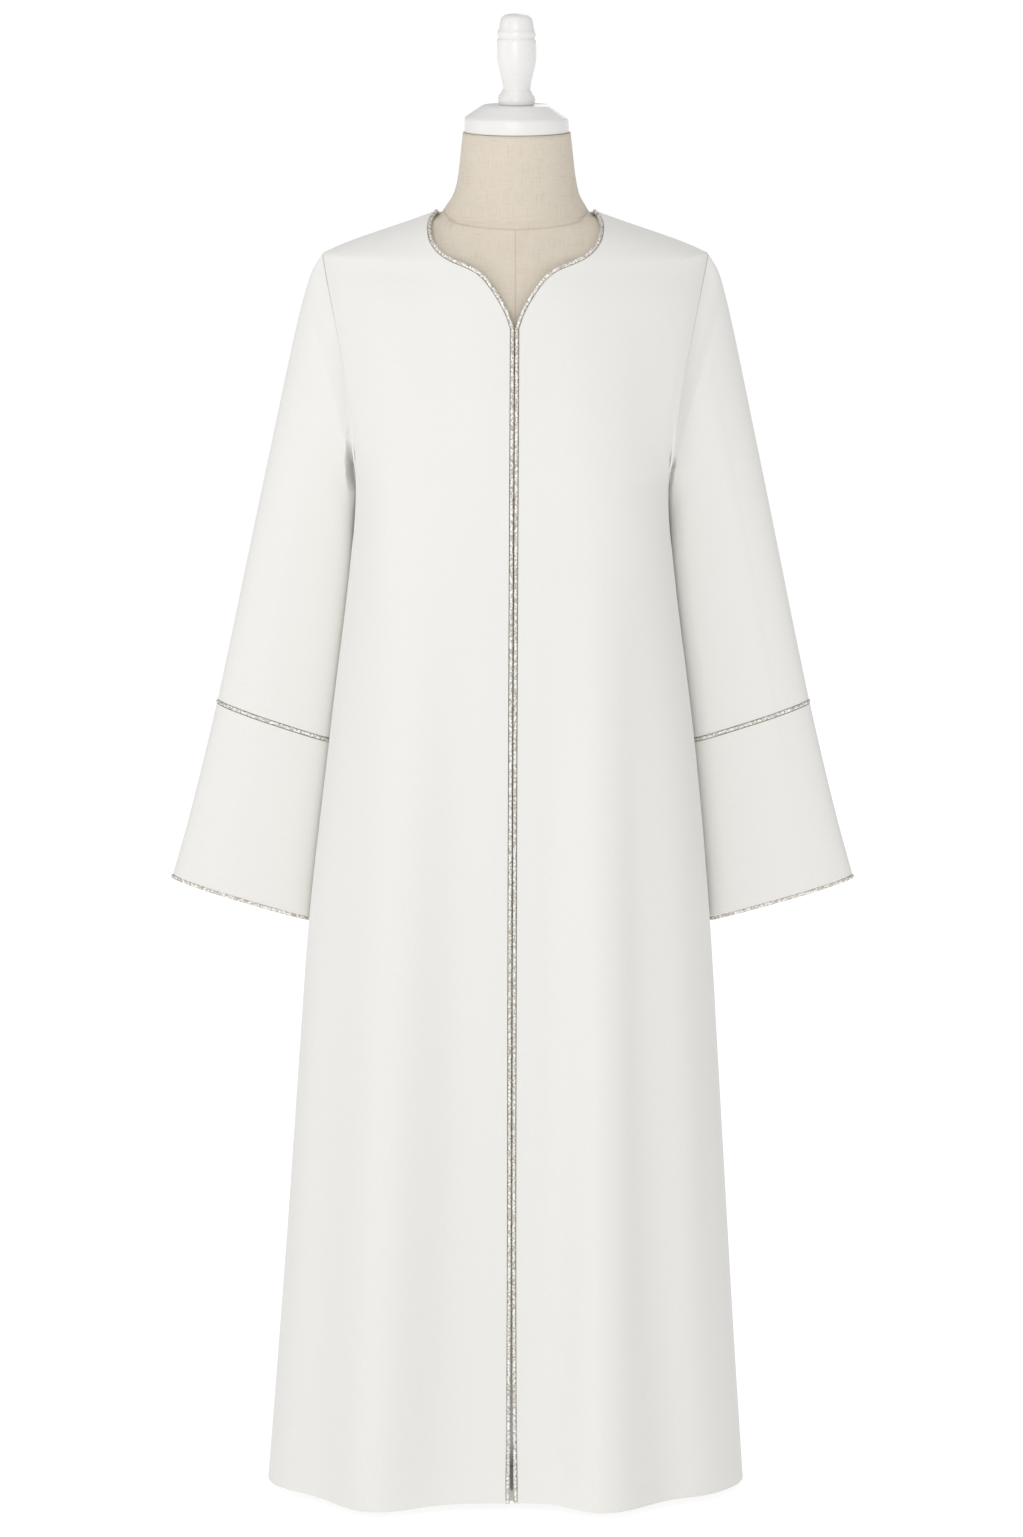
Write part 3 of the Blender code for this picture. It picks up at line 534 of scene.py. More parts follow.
def panel(side, face, neck, armhole, neck_columns, from_middle=None):
    """Outer grid of half a body piece: rows up from the hem, columns from the middle out.
    Its four edges are set in shares and heights, and the inside is blended from them."""
    rows, columns = SKIRT_ROWS + ARM_ROWS, neck_columns + SHOULDER_COLUMNS
    chest = ARMPIT_Z - CHEST_DROP
    middle_z = np.concatenate((rows_up(HEM_Z, chest, SKIRT_ROWS),
                               chest + (neck[0, 1] - chest) * towards_top(ARM_ROWS)[1:]))
    gap = from_middle(middle_z) if from_middle else np.zeros_like(middle_z)
    edge_in = np.array([(share_of(x, z, face), z) for x, z in zip(gap, middle_z)])
    edge_out = [(1.0, z) for z in rows_up(HEM_Z, ARMPIT_Z, SKIRT_ROWS)[:-1]]
    edge_out += armhole_rows(armhole, side, face)
    edge_out[SKIRT_ROWS], edge_out[-1] = (1.0, ARMPIT_Z), (1.0, SHOULDER_Z)
    edge_out = np.array(edge_out)
    neckline = spaced(neck, np.linspace(0, 1, neck_columns + 1)[:-1])
    high = [(share_of(x, z, face), z) for x, z in neckline]
    high += [(1.0, z) for z in np.linspace(NECK_Z, SHOULDER_Z, SHOULDER_COLUMNS + 1)]
    high = np.array(high)
    high[0] = edge_in[-1]
    u = np.linspace(0, 1, columns + 1)[None, :, None]
    v = np.linspace(0, 1, rows + 1)[:, None, None]
    low = edge_in[0] + (edge_out[0] - edge_in[0]) * u
    blend = ((1 - u) * edge_in[:, None] + u * edge_out[:, None] + (1 - v) * low + v * high
             - (1 - u) * (1 - v) * edge_in[0] - u * (1 - v) * edge_out[0]
             - (1 - u) * v * edge_in[-1] - u * v * edge_out[-1])
    return body_points(np.clip(blend[..., 0], 0, 1), blend[..., 1], side, face)


def creased(grid, out, rows, fade):
    """The cloth with its creases. Each row is a soft ridge, or a trough where its height is
    below 0: x and z at its top, x and z at its foot, height, width to -X, width to +X. It is
    highest at its middle, and `fade` takes it down to nothing along the sewn edges."""
    x, z = grid[..., 0], grid[..., 2]
    rise = np.zeros_like(x)
    for x_top, z_top, x_foot, z_foot, height, to_left, to_right in rows:
        down = np.clip((z_top - z) / (z_top - z_foot), 0, 1)
        middle = x_top + (x_foot - x_top) * down
        width = np.where(x < middle, to_left, to_right)
        rise += (height * np.sin(math.pi * down) ** CREASE_ENDS
                 * np.exp(-((x - middle) / width) ** 2))
    return grid + out * (rise * fade)[..., None]


def inside_of(shape, near, far, top):
    """1 inside a grid, and down to 0 over this many cells at its first and last columns and
    its top."""
    rows, columns = np.arange(shape[0])[:, None], np.arange(shape[1])[None, :]
    inside = np.ones(shape)
    for cells, count in ((columns, near), (shape[1] - 1 - columns, far),
                         (shape[0] - 1 - rows, top)):
        share = np.clip(cells / count, 0, 1)
        inside = inside * share * share * (3 - 2 * share)
    return inside


def facing(grid, flip, ring=False):
    """Unit normals of a grid; with `ring` its columns go all round."""
    along = np.gradient(grid, axis=0)
    if ring:
        across = (np.roll(grid, -1, axis=1) - np.roll(grid, 1, axis=1)) / 2
    else:
        across = np.gradient(grid, axis=1)
    out = np.cross(across, along) * flip
    return out / np.maximum(np.linalg.norm(out, axis=2, keepdims=True), 1e-12)


def part_seams(grid, face, first_shoulder, sides):
    """Draws a body piece back from its seams: from the shoulder and side seams towards its own
    face, and from the armholes towards its middle."""
    made = grid.copy()
    columns = grid.shape[1]
    for end, inside, step in sides:
        shoulder = np.arange(columns)[::step][:columns - first_shoulder]
        made[-1, shoulder[1:], 1] += face * SEAM / 2
        made[:, end, 1] += face * SEAM / 2
        towards = grid[SKIRT_ROWS:, inside] - grid[SKIRT_ROWS:, end]
        run = np.gradient(grid[SKIRT_ROWS:, end], axis=0)
        run /= np.linalg.norm(run, axis=1, keepdims=True)
        towards -= run * np.sum(towards * run, axis=1, keepdims=True)
        towards /= np.linalg.norm(towards, axis=1, keepdims=True)
        made[SKIRT_ROWS:, end] += towards * SEAM / 2
    return made


def grain_of(grid):
    """Distances across and along the cloth, in metres, for the weave to follow."""
    step = np.linalg.norm(np.diff(grid, axis=1), axis=2)
    across = np.concatenate((np.zeros((len(grid), 1)), np.cumsum(step, axis=1)), axis=1)
    across -= across[:, across.shape[1] // 2][:, None]
    rise = np.linalg.norm(np.diff(grid, axis=0), axis=2).mean(axis=1)
    along = np.concatenate(([0.0], np.cumsum(rise)))
    return np.stack((across, np.repeat(along[:, None], grid.shape[1], axis=1)), axis=-1)


def finished(piece):
    """The piece with its modifiers made part of its mesh."""
    shown = piece.evaluated_get(bpy.context.evaluated_depsgraph_get())
    mesh = bpy.data.meshes.new_from_object(shown)
    piece.modifiers.clear()
    piece.data = mesh
    return piece


def cloth(name, grid, flip, ring=False):
    """A thin sheet of cloth whose outer face is the grid, with its grain as a UV map."""
    rows, columns = grid.shape[:2]
    spans = columns if ring else columns - 1
    uv = grain_of(np.concatenate((grid, grid[:, :1]), axis=1) if ring else grid)
    faces, corners = [], []
    for i in range(rows - 1):
        for j in range(spans):
            cell = ((i, j), (i, j + 1), (i + 1, j + 1), (i + 1, j))[::flip]
            faces.append([a * columns + b % columns for a, b in cell])
            corners += [uv[a, b] for a, b in cell]
    mesh = bpy.data.meshes.new(name)
    mesh.from_pydata(grid.reshape(-1, 3).tolist(), [], faces)
    mesh.uv_layers.new(name="grain").data.foreach_set("uv", np.array(corners, np.float32).ravel())
    mesh.shade_smooth()
    made = bpy.data.objects.new(name, mesh)
    bpy.context.scene.collection.objects.link(made)
    shell = made.modifiers.new("thickness", "SOLIDIFY")
    shell.thickness, shell.offset, shell.use_even_offset = SHEET, -1.0, False
    finished(made).data.set_sharp_from_angle(angle=math.radians(SHARP_FOLD))
    return made


def ivory_crepe(name):
    """Matt crepe: a fine, slightly pebbled weave, soft at grazing angles."""
    look = Finish(name)
    grain = look.node("UVMap", {"uv_map": "grain"}).outputs[0]
    pebbles = look.noise(grain, 1900.0, 2.0, 0.6)
    threads = look.noise(look.node("Mapping", Vector=grain, Scale=(2600.0, 260.0, 1.0)).outputs[0],
                         1.0, 2.0)
    flecks = look.between(look.noise(grain, 420.0, 3.0, 0.65), 0.3, 0.7)
    look.shade(Base_Color=look.mixed(flecks, (0.788, 0.779, 0.747, 1), (0.820, 0.811, 0.782, 1)),
               Roughness=look.between(pebbles, 0.3, 0.7, 0.78, 0.9),
               Specular_IOR_Level=0.25, Sheen_Weight=0.2, Sheen_Roughness=0.45)
    look.bump(look.sums("MULTIPLY_ADD", threads, 0.7, pebbles), 0.35, 0.00025)
    return look


half_back = {side: panel(side, 1, BACK_NECK, BACK_ARMHOLE, BACK_NECK_COLUMNS) for side in (-1, 1)}
back_grid = np.concatenate((half_back[-1][:, ::-1], half_back[1][:, 1:]), axis=1)
# Creases of the back, in the columns that `creased` gives
BACK_CREASES = (
    (-0.130, 1.300, -0.150, 0.950, 0.0030, 0.020, 0.028),
    (0.122, 1.290, 0.146, 0.900, 0.0026, 0.026, 0.020),
    (-0.060, 1.330, -0.104, 1.020, -0.0022, 0.018, 0.022),
    (0.052, 1.320, 0.088, 1.060, -0.0020, 0.022, 0.018),
    (-0.048, 0.820, -0.062, 0.030, -0.0040, 0.026, 0.020),
    (0.052, 0.760, 0.066, 0.020, -0.0036, 0.022, 0.028),
    (-0.205, 0.760, -0.226, 0.060, 0.0030, 0.016, 0.020),
    (0.186, 0.700, 0.214, 0.040, 0.0034, 0.018, 0.018),
)
BACK_CREASE_FADE = (10, 10, 12)    # cells in which they fade out at the sides and the top
back_grid = creased(back_grid, facing(back_grid, -1), BACK_CREASES,
                    inside_of(back_grid.shape[:2], *BACK_CREASE_FADE))
back = cloth("cloak_back", part_seams(back_grid, 1, back_grid.shape[1] - SHOULDER_COLUMNS - 1,
                                      ((0, 1, 1), (-1, -2, -1))), -1)
put(back, "back", ivory_crepe("back_ivory_crepe"))


# Fronts. A right and a left piece that meet edge to edge from the hem to the point of the
# neckline, then curve out over the chest to the shoulder seams. No buttons or hooks show.
PIPING_RADIUS = 0.00225
BESIDE_PIPING = PIPING_RADIUS + SEAM     # from a cloth edge to the middle of its piping
# Cloth edge of the front neckline from the point of the V: distance from the middle, height
FRONT_NECK = np.array((
    (0.0050, 1.2765), (0.0100, 1.2905), (0.0175, 1.3045), (0.0262, 1.3175),
    (0.0352, 1.3280), (0.0448, 1.3348), (0.0550, 1.3392), (0.0660, 1.3432),
    (0.0765, 1.3484), (0.0865, 1.3565), (0.0928, 1.3670), (0.0946, 1.3780),
    (0.0925, 1.3860), (0.0876, 1.3909),
))
# Armhole in front, from the armpit to the shoulder: distance from the middle, height
FRONT_ARMHOLE = np.array((
    (0.1655, 1.1070), (0.1680, 1.1180), (0.1715, 1.1450), (0.1745, 1.1700),
    (0.1775, 1.1920), (0.1825, 1.2260), (0.1905, 1.2670), (0.1990, 1.3080),
    (0.2030, 1.3270), (0.2065, 1.3455),
))
# By height: from the middle of the closing to the middle of one piping, and the closing's
# shift in x
CLOSING = np.array((
    (0.0080, 0.0042, -0.0036), (0.1200, 0.0030, -0.0038), (0.3500, 0.0024, -0.0036),
    (0.6600, 0.0024, -0.0030), (1.2765, 0.0024, -0.0005),
))
LEAN_REACH = 0.09        # the closing's shift fades out this far from the middle


def closing_gap(z):
    return smooth(CLOSING[:, 0], CLOSING[:, 1], z) + BESIDE_PIPING


def leaning(grid):
    """The fronts with their closing moved a little off the middle."""
    shift = smooth(CLOSING[:, 0], CLOSING[:, 2], grid[..., 2])
    middle = smooth(BODY[:, 0], BODY[:, 4], grid[..., 2])
    fade = np.clip(1 - np.abs(grid[..., 0] - middle) / LEAN_REACH, 0, 1)
    made = grid.copy()
    made[..., 0] += (shift - middle) * fade * fade * (3 - 2 * fade)
    return made


# Creases of the right and left front, in the columns that `creased` gives
FRONT_CREASES = {
    -1: ((-0.140, 1.330, -0.134, 0.900, 0.0034, 0.022, 0.030),
         (-0.092, 1.345, -0.058, 1.120, -0.0020, 0.026, 0.022),
         (-0.060, 0.960, -0.072, 0.050, -0.0036, 0.026, 0.024),
         (-0.196, 0.700, -0.222, 0.080, -0.0026, 0.014, 0.018)),
    1: ((0.150, 1.300, 0.146, 1.080, -0.0046, 0.026, 0.022),
        (0.066, 1.330, 0.074, 1.050, 0.0022, 0.026, 0.030),
        (0.128, 1.020, 0.146, 0.020, -0.0052, 0.020, 0.022),
        (0.172, 0.960, 0.196, 0.060, 0.0030, 0.016, 0.016),
        (0.040, 0.900, 0.046, 0.060, -0.0016, 0.016, 0.018)),
}
FRONT_CREASE_FADE = (8, 10, 12)
# The front is evened out between these rows, counted from the armpit's, and in this many
# columns from its edge, by a share of the difference in each pass
EASED_ROWS, EASED_COLUMNS, EASED_FADE = (-3, 18), 20, 4
EASED_PASSES, EASED_SHARE = 40, 0.6
SIDES = ((-1, "right"), (1, "left"))


def eased(grid):
    """The front evened out beside the foot of its armhole, where the cloth turns under."""
    made = grid.copy()
    rows, columns = np.arange(grid.shape[0]) - SKIRT_ROWS, np.arange(grid.shape[1])[::-1] - 1
    from_ends = np.minimum(rows - EASED_ROWS[0], EASED_ROWS[1] - rows)
    amount = (np.clip(from_ends / EASED_FADE, 0, 1)[:, None]
              * np.clip(1 - columns / EASED_COLUMNS, 0, 1) * EASED_SHARE)[1:-1, 1:-1, None]
    for _ in range(EASED_PASSES):
        even = (made[2:, 1:-1] + made[:-2, 1:-1] + made[1:-1, 2:] + made[1:-1, :-2]) / 4
        made[1:-1, 1:-1] += (even - made[1:-1, 1:-1]) * amount
    return made


front_grid = {}
for side in (-1, 1):
    grid = leaning(panel(side, -1, FRONT_NECK, FRONT_ARMHOLE, FRONT_NECK_COLUMNS, closing_gap))
    front_grid[side] = eased(creased(grid, facing(grid, side), FRONT_CREASES[side],
                                     inside_of(grid.shape[:2], *FRONT_CREASE_FADE)))
for side, which in SIDES:
    front = cloth("cloak_front_" + which, part_seams(front_grid[side], -1, FRONT_NECK_COLUMNS,
                                                     ((-1, -2, -1),)), side)
    put(front, "front_" + which, ivory_crepe(f"front_{which}_ivory_crepe"))


# Sleeves. Straight one-piece sleeves set into the armholes, one underarm seam each, hanging a
# little behind the body and pressed flat by their own weight.
# Share of the way to the cuff seam, outer x, outer z, clear of the body's side by, inner z,
# middle in y, half depth, inner edge tucked back by
SLEEVE = np.array((
    (0.00, 0.2065, 1.3455, 0.0000, 1.1070, 0.000, 0.0500, 0.000),
    (0.04, 0.2175, 1.3270, 0.0006, 1.0970, 0.002, 0.0500, 0.020),
    (0.10, 0.2262, 1.2990, -0.0014, 1.0790, 0.008, 0.0480, 0.034),
    (0.18, 0.2356, 1.2600, -0.0028, 1.0540, 0.020, 0.0450, 0.028),
    (0.28, 0.2462, 1.2110, -0.0030, 1.0250, 0.033, 0.0410, 0.014),
    (0.40, 0.2586, 1.1520, -0.0028, 0.9900, 0.040, 0.0370, 0.005),
    (0.55, 0.2740, 1.0790, -0.0028, 0.9460, 0.042, 0.0340, 0.001),
    (0.70, 0.2893, 1.0050, -0.0028, 0.9020, 0.042, 0.0320, 0.000),
    (0.85, 0.3046, 0.9310, -0.0028, 0.8580, 0.042, 0.0310, 0.000),
    (1.00, 0.3206, 0.8560, -0.0028, 0.8150, 0.042, 0.0300, 0.000),
))
SLEEVE_RINGS = (0.0, 0.03, 0.07, 0.12, 0.18, 0.26, 0.35, 0.46, 0.58, 0.72, 0.86, 1.0)
RINGS_BETWEEN = 10       # rings of the fine sleeve between two of those
PRESSED, PRESSED_FROM = 3.6, 0.35  # squareness of the sleeve's inner side, and from where down
SLEEVE_SHIFT = -0.0025   # the cuffs hang this far to the wearer's right of the middle,
SHIFT_DROP = 0.7         # all of it this far below the shoulder
# Share of the way down where the armhole's shape has died out: all round, and under the arm,
# which is so many columns wide
SETTLED, SETTLED_UNDER, UNDER_COLUMNS = 0.30, 0.13, 16


def arm_ring(table, t, side, from_above=0.0):
    """One ring round a sleeve or cuff, from its outer edge round the front to its inner edge."""
    out_x, out_z, clear, in_z, mid_y, half_depth, tuck = (
        float(smooth(table[:, 0], table[:, c], t)) for c in range(1, 8))
    half_width, _, middle, _ = sections(in_z, 1)
    drop = SHOULDER_Z - (out_z + in_z) / 2
    shift = SLEEVE_SHIFT * min(max(drop / SHIFT_DROP, 0), 1)
    outer = np.array((side * out_x + shift, mid_y, out_z))
    inner = np.array((side * (half_width + clear + middle * side), mid_y + tuck, in_z))
    turned_by = 2 * math.pi * np.arange(2 * ARM_ROWS)[:, None] / (2 * ARM_ROWS)
    c, s = np.cos(turned_by), np.sin(turned_by)
    pressed = min((from_above + t) / PRESSED_FROM, 1.0)
    power = 2 / (2 + (PRESSED - 2) * pressed * np.clip(0.5 - c, 0, 1))
    return ((outer + inner) / 2 + (outer - inner) / 2 * np.sign(c) * np.abs(c) ** power
            - np.array((0, half_depth, 0)) * np.sign(s) * np.abs(s) ** power)


def sleeve_rings(side):
    """Rings from the armhole, taken from the two body pieces, down to the cuff seam."""
    down = np.concatenate((front_grid[side][SKIRT_ROWS:, -1][::-1],
                           half_back[side][SKIRT_ROWS:, -1][1:-1]))
    off = down - arm_ring(SLEEVE, 0.0, side)
    under = np.exp(-((np.arange(2 * ARM_ROWS) - ARM_ROWS) / UNDER_COLUMNS) ** 2)[:, None]
    settled = SETTLED + (SETTLED_UNDER - SETTLED) * under
    rings = [arm_ring(SLEEVE, t, side) + off * np.clip(1 - t / settled, 0, 1) ** 2
             for t in between_rows(SLEEVE_RINGS, RINGS_BETWEEN)]
    return np.array(rings)


def ends_in(grid, low, high):
    """The first and last rings moved towards the inside of the piece."""
    made = grid.copy()
    for row, inside, amount in ((0, 1, low), (-1, -2, high)):
        towards = grid[inside] - grid[row]
        made[row] += towards / np.linalg.norm(towards, axis=1, keepdims=True) * amount
    return made


# The hollow under the arm, where the sleeve has a fold and then falls back behind the body's
# edge: by side, how far the fold is from that edge at the armpit, and how steep the fall is
HOLLOW = {-1: (0.0135, 4.5), 1: (0.0080, 4.5)}
HOLLOW_BELOW = 0.15      # the fall below the armpit, as a share of the fall above it
HOLLOW_RISE, HOLLOW_DROP = 0.090, 0.085  # how far it reaches above and below the armpit
HOLLOW_BACK = 0.060      # this far behind the side seam the sleeve is not moved
HOLLOW_FULL, HOLLOW_START = 0.030, 0.7  # height in which the fall grows; share at the armpit
HOLLOW_RINGS = 4         # the first rings, beside the seam, are moved less
HOLLOW_UNDER, HOLLOW_FADE = 12, 8  # columns past the armpit that are moved, and that fade out


def hollowed(grid, side):
    """The sleeve with the hollow beside the armhole."""
    width, fall = HOLLOW[side]
    made = grid.copy()
    x, y, z = grid[..., 0], grid[..., 1], grid[..., 2]
    ring, column = np.arange(grid.shape[0])[:, None], np.arange(grid.shape[1])[None, :]
    half_width, _, middle, _ = sections(z, -1)
    above = z > ARMPIT_Z
    edge = np.where(above, smooth(FRONT_ARMHOLE[:, 1], FRONT_ARMHOLE[:, 0], z), half_width)
    out = side * (x - middle) - edge
    off = z - ARMPIT_Z
    reach = width * np.clip(1 - off / np.where(above, HOLLOW_RISE, -HOLLOW_DROP), 0, 1)
    fall = fall * (HOLLOW_BELOW
                   + (1 - HOLLOW_BELOW) * np.clip(off / HOLLOW_FULL + HOLLOW_START, 0, 1))
    in_front = np.clip((ARM_ROWS + HOLLOW_UNDER - column) / HOLLOW_FADE, 0, 1)
    behind = np.clip((HOLLOW_BACK - y) / HOLLOW_BACK, 0, 1)
    made[..., 1] += (fall * np.clip(reach - np.maximum(out, 0), 0, None)
                     * np.clip(ring / HOLLOW_RINGS, 0, 1) * in_front * behind)
    return made


sleeve_grid = {side: hollowed(sleeve_rings(side), side) for side in (-1, 1)}
for side, which in SIDES:
    sleeve = cloth("sleeve_" + which + "_crepe",
                   ends_in(sleeve_grid[side], 2 * SEAM, BESIDE_PIPING), side, ring=True)
    put(sleeve, "sleeve_" + which, ivory_crepe(f"sleeve_{which}_ivory_crepe"))


# Cuffs. A flared band of the same crepe sewn to each sleeve's end, a hand and a half deep and
# wider at its hem, which stands out in a blunt point.
# The columns of the sleeve's table, from the cuff's seam to its hem
CUFF = np.array((
    (0.00, 0.3206, 0.8560, -0.0028, 0.8150, 0.042, 0.0300, 0.0),
    (0.35, 0.3362, 0.7900, -0.0028, 0.7470, 0.042, 0.0295, 0.0),
    (0.70, 0.3532, 0.7225, -0.0028, 0.6775, 0.042, 0.0290, 0.0),
    (1.00, 0.3696, 0.6640, -0.0028, 0.6190, 0.042, 0.0290, 0.0),
))
CUFF_PARTS = 36          # rings of the cuff

cuff_grid = {side: np.array([arm_ring(CUFF, t, side, 1.0)
                             for t in np.linspace(0, 1, CUFF_PARTS + 1)])
             for side in (-1, 1)}
for side, which in SIDES:
    cuff = cloth("cuff_" + which + "_crepe",
                 ends_in(cuff_grid[side], BESIDE_PIPING, BESIDE_PIPING), side, ring=True)
    put(cuff, "cuff_" + which, ivory_crepe(f"cuff_{which}_ivory_crepe"))


# Piping. A cord of silver metallic thread, laid from three twisted plies, sewn along both
# front edges and the neckline, and into the cuff seams and round the cuff hems.
PLIES = 3
TURN_LENGTH = 0.0068     # length in which the plies go once round
RING_STEP = 0.0011       # length between two rings of the cord's skin
PLY_DEPTH = 0.16         # how deep the valleys between plies are, as a share of the radius
PLY_POINTS = 15          # points round the cord
WALL = 0.0020            # the solids' cloth is this thick, and the piping lies on its middle
SQUARE_END = 0.003       # length of a neck cord's end that is level and square


def twisted_cord():
    """Geometry nodes that lay a twisted cord along the edges of a mesh."""
    tree = bpy.data.node_groups.new("twisted_cord", "GeometryNodeTree")
    face = tree.interface
    for name, kind, way in (("Path", "NodeSocketGeometry", "INPUT"),
                            ("Radius", "NodeSocketFloat", "INPUT"),
                            ("Turn length", "NodeSocketFloat", "INPUT"),
                            ("Ring step", "NodeSocketFloat", "INPUT"),
                            ("Ply depth", "NodeSocketFloat", "INPUT"),
                            ("Thread", "NodeSocketMaterial", "INPUT"),
                            ("Cord", "NodeSocketGeometry", "OUTPUT")):
        face.new_socket(name, in_out=way, socket_type=kind)
    sizes = tree.nodes.new("NodeGroupInput").outputs

    def node(kind, settings=None, **sockets):
        return add_node(tree, kind, settings, **sockets)

    def sums(operation, *values):
        return add_sum(tree, operation, *values)

    line = node("GeometryNodeMeshToCurve", Mesh=sizes["Path"]).outputs["Curve"]
    line = node("GeometryNodeResampleCurve", {"mode": "LENGTH"}, Curve=line,
                Length=sizes["Ring step"]).outputs["Curve"]
    run = node("GeometryNodeSplineParameter").outputs["Length"]
    tilt = sums("DIVIDE", sums("MULTIPLY", run, 2 * math.pi), sizes["Turn length"])
    line = node("GeometryNodeSetCurveTilt", Curve=line, Tilt=tilt).outputs["Curve"]
    ring = node("GeometryNodeCurvePrimitiveCircle", Resolution=PLY_POINTS,
                Radius=1.0).outputs["Curve"]
    place = node("GeometryNodeInputPosition").outputs[0]
    parts = node("ShaderNodeSeparateXYZ", Vector=place).outputs
    angle = sums("ARCTAN2", parts["Y"], parts["X"])
    swell = sums("ABSOLUTE", sums("COSINE", sums("MULTIPLY", angle, PLIES / 2)))
    valley = sums("MULTIPLY", sizes["Ply depth"], sums("SUBTRACT", 1.0, swell))
    reach = sums("SUBTRACT", 1.0, valley)
    scaled = node("ShaderNodeVectorMath", {"operation": "SCALE"}, Vector=place,
                  Scale=sums("MULTIPLY", reach, sizes["Radius"])).outputs["Vector"]
    ring = node("GeometryNodeSetPosition", Geometry=ring, Position=scaled).outputs["Geometry"]
    skin = node("GeometryNodeCurveToMesh", Curve=line, Profile_Curve=ring,
                Fill_Caps=True).outputs["Mesh"]
    skin = node("GeometryNodeSetShadeSmooth", Geometry=skin, Shade_Smooth=True).outputs["Geometry"]
    skin = node("GeometryNodeRealizeInstances", Geometry=skin).outputs["Geometry"]
    skin = node("GeometryNodeSetMaterial", Geometry=skin,
                Material=sizes["Thread"]).outputs["Geometry"]
    tree.links.new(skin, tree.nodes.new("NodeGroupOutput").inputs["Cord"])
    return tree


CORD_TREE = twisted_cord()


def silver_thread(name):
    """Metallic thread, with painted light: bright painted highlights in random spots where a thread
    would catch the light, painted shade beside them, and tarnish in random patches.
    """
    look = Finish(name)
    spot = look.place()
    # Painted highlights and shade: random spots of the thread's colour are painted near white as
    # glints, and the rest a dark brownish grey as shade between them; the same spots also set the
    # roughness.
    painted_glints = look.noise(spot, 430.0, 2.0, 0.6)
    tarnish = look.noise(spot, 130.0, 2.0)
    glint_and_shade_colour = look.mixed(look.between(painted_glints, 0.41, 0.58), (0.48, 0.44, 0.37, 1),
                        (0.99, 0.975, 0.94, 1))
    look.shade(Base_Color=look.mixed(look.between(tarnish, 0.4, 0.75, 0.0, 0.3), glint_and_shade_colour,
                                     (0.55, 0.52, 0.47, 1)),
               Metallic=0.45, Roughness=look.between(painted_glints, 0.35, 0.65, 0.5, 0.3))
    look.bump(look.noise(spot, 2400.0, 1.0), 0.3, 0.0002)
    return look


def piping(name, node, path, closed):
    """A piece of piping along a path of points."""
    count = len(path)
    steps = [(i, i + 1) for i in range(count - 1)] + [(count - 1, 0)] * closed
    mesh = bpy.data.meshes.new(name)
    mesh.from_pydata(path.tolist(), steps, [])
    made = bpy.data.objects.new(name, mesh)
    bpy.context.scene.collection.objects.link(made)
    look = silver_thread(name + "_thread")
    lay = made.modifiers.new("lay", "NODES")
    lay.node_group = CORD_TREE
    sizes = {"Radius": PIPING_RADIUS, "Turn length": TURN_LENGTH, "Ring step": RING_STEP,
             "Ply depth": PLY_DEPTH, "Thread": look.material}
    for socket in CORD_TREE.interface.items_tree:
        if socket.name in sizes:
            lay[socket.identifier] = sizes[socket.name]
    put(finished(made), node, look)


def beside(path, normals, away):
    """A line along an edge of the cloth, at the cord's distance and half a wall deep."""
    out = np.cross(np.gradient(path, axis=0), normals) * away
    out /= np.linalg.norm(out, axis=1, keepdims=True)
    return path + out * BESIDE_PIPING - normals * WALL / 2


def square_end(path, index, towards_back):
    """Ends a neck cord level and square at the shoulder seam, so that two cords meet flat."""
    ends = [path[index] + towards_back * np.array((0, y, 0)) for y in (SQUARE_END, SEAM / 2)]
    return np.concatenate((ends[::-1], path[1:]) if index == 0 else (path[:-1], ends))


for side, which in SIDES:
    grid = front_grid[side]
    out = facing(grid, side)
    edge = np.concatenate((grid[:, 0], grid[-1, 1:FRONT_NECK_COLUMNS + 1]))
    normals = np.concatenate((out[:, 0], out[-1, 1:FRONT_NECK_COLUMNS + 1]))
    piping("front_piping_" + which, "piping_front_" + which,
           square_end(beside(edge, normals, -side), -1, -1), False)
first, last = SHOULDER_COLUMNS, back_grid.shape[1] - SHOULDER_COLUMNS
out = facing(back_grid, -1)
edge = beside(back_grid[-1, first:last], out[-1, first:last], 1)
piping("back_neck_piping", "piping_neck_back", square_end(square_end(edge, 0, 1), -1, 1), False)
for side, which in SIDES:
    for grid, place in ((sleeve_grid[side], "seam"), (cuff_grid[side], "hem")):
        out = facing(grid, side, ring=True)
        piping(f"cuff_{place}_piping_{which}", f"piping_cuff_{place}_{which}",
               grid[-1] - out[-1] * WALL / 2, True)


# Floor and light. A white studio floor; a large soft light in front, a little to the viewer's
# left, one overhead, a weaker one from the left, one behind, and even white surroundings.
FLOOR_REACH = 60.0


def area_light(name, place, target, size, power):
    lamp = bpy.data.lights.new(name, "AREA")
    lamp.shape, lamp.size, lamp.size_y, lamp.energy = "RECTANGLE", *size, power
    made = bpy.data.objects.new(name, lamp)
    made.location = place
    made.rotation_euler = (Vector(target) - Vector(place)).to_track_quat("-Z", "Y").to_euler()
    bpy.context.scene.collection.objects.link(made)


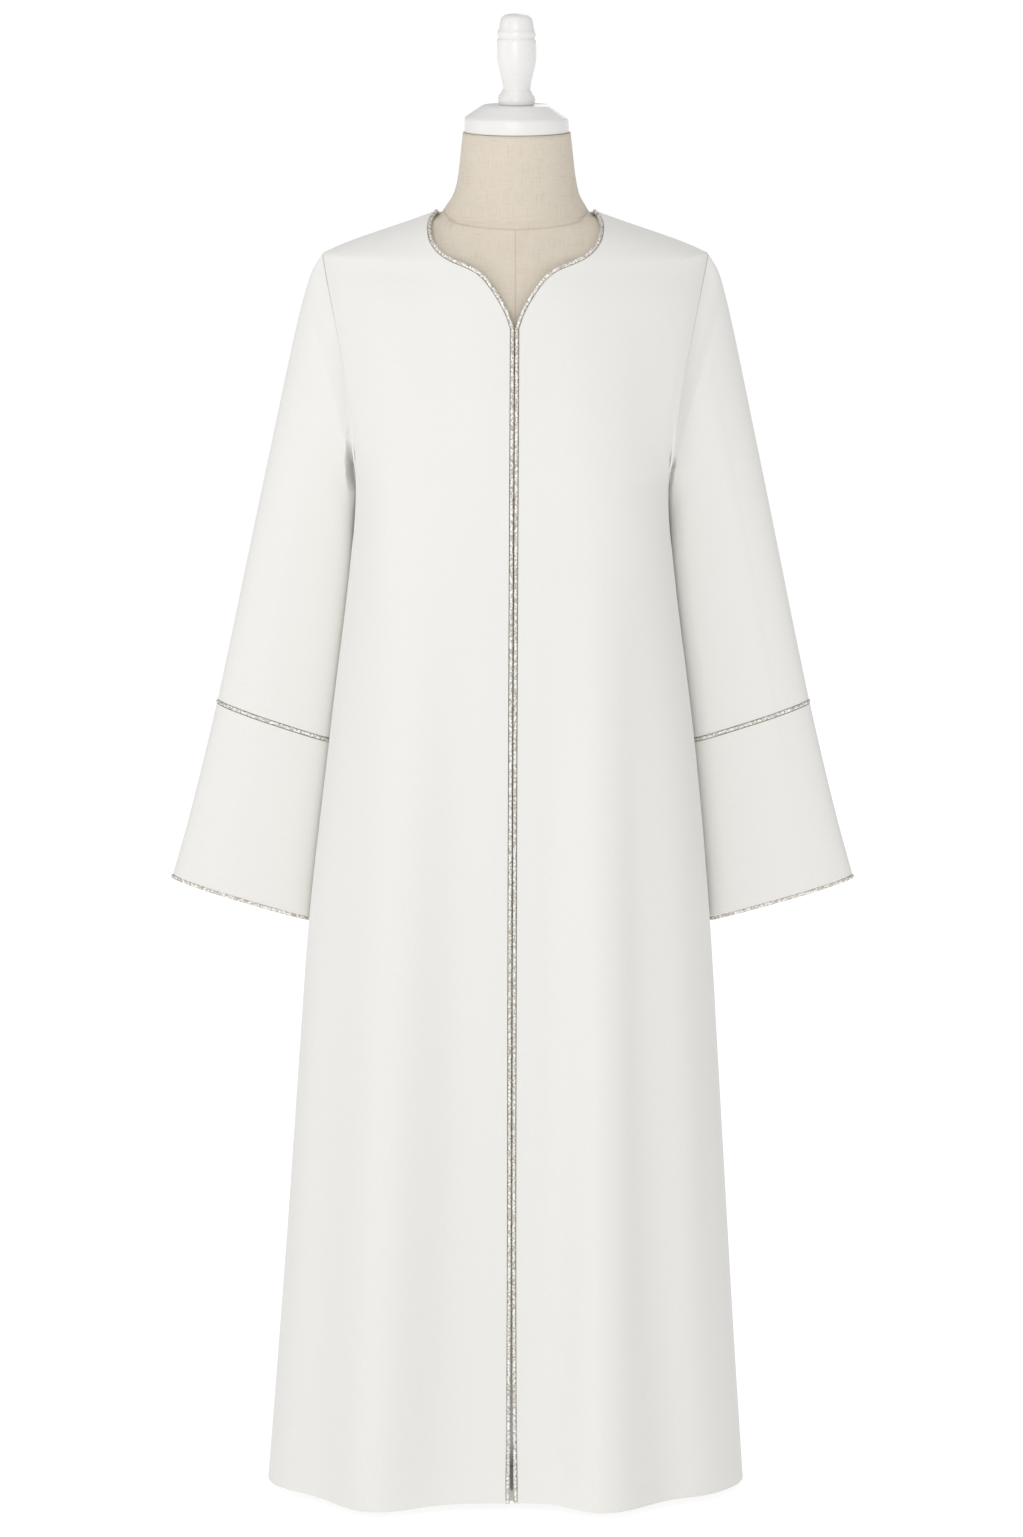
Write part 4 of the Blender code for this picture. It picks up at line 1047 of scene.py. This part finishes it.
floor_mesh = bpy.data.meshes.new("studio_floor")
floor_mesh.from_pydata([(x * FLOOR_REACH, y * FLOOR_REACH, 0.0)
                        for x, y in ((-1, -1), (1, -1), (1, 1), (-1, 1))], [], [(0, 1, 2, 3)])
studio_floor = bpy.data.objects.new("studio_floor", floor_mesh)
bpy.context.scene.collection.objects.link(studio_floor)
floor_paint = Finish("studio_floor_white")
floor_paint.shade(Base_Color=floor_paint.mixed(floor_paint.noise(floor_paint.place(), 3.0),
                                               (0.34, 0.34, 0.34, 1), (0.36, 0.36, 0.36, 1)),
                  Roughness=0.9, Specular_IOR_Level=0.1,
                  Emission_Color=(1.0, 1.0, 1.0, 1), Emission_Strength=0.84)
floor_mesh.materials.append(floor_paint.material)

area_light("front", (-0.9, -6.0, 2.2), (0, 0, 0.85), (3.0, 3.0), 80.0)
area_light("overhead", (-0.6, -1.6, 4.6), (0, 0, 0.9), (3.5, 3.5), 42.0)
area_light("left", (-5.0, -1.0, 2.0), (0, 0, 0.9), (2.5, 3.0), 19.0)
area_light("behind", (1.6, 5.6, 2.6), (0, 0, 0.9), (3.0, 3.0), 45.0)
sky = bpy.data.worlds.new("studio")
sky.use_nodes = True
# The white surroundings light the cloak at half of the brightness that they are seen at.
walls = sky.node_tree.nodes["Background"]
walls.inputs["Color"].default_value = (1.0, 1.0, 1.0, 1.0)
seen = sky.node_tree.nodes.new("ShaderNodeLightPath").outputs["Is Camera Ray"]
level = sky.node_tree.nodes.new("ShaderNodeMapRange")
level.inputs["To Min"].default_value, level.inputs["To Max"].default_value = 0.50, 1.0
sky.node_tree.links.new(seen, level.inputs["Value"])
sky.node_tree.links.new(level.outputs["Result"], walls.inputs["Strength"])
bpy.context.scene.world = sky
bpy.context.scene.view_settings.view_transform = "Standard"


# Camera. Far off and a little above the cloak's middle, looking slightly down, as the
# photograph was taken.
CAMERA_DISTANCE, CAMERA_ELEVATION = 10.0, math.radians(8.45)
CAMERA_AIM = Vector((-0.0038, 0.0, 0.788))
CAMERA_LENS = 216.9      # on a sensor whose long side is 36 mm

camera = bpy.data.objects.new("camera", bpy.data.cameras.new("camera"))
camera.data.lens, camera.data.clip_end = CAMERA_LENS, 200.0
camera.location = CAMERA_AIM + CAMERA_DISTANCE * Vector(
    (0, -math.cos(CAMERA_ELEVATION), math.sin(CAMERA_ELEVATION)))
camera.rotation_euler = (math.pi / 2 - CAMERA_ELEVATION, 0, 0)
bpy.context.scene.collection.objects.link(camera)
bpy.context.scene.camera = camera
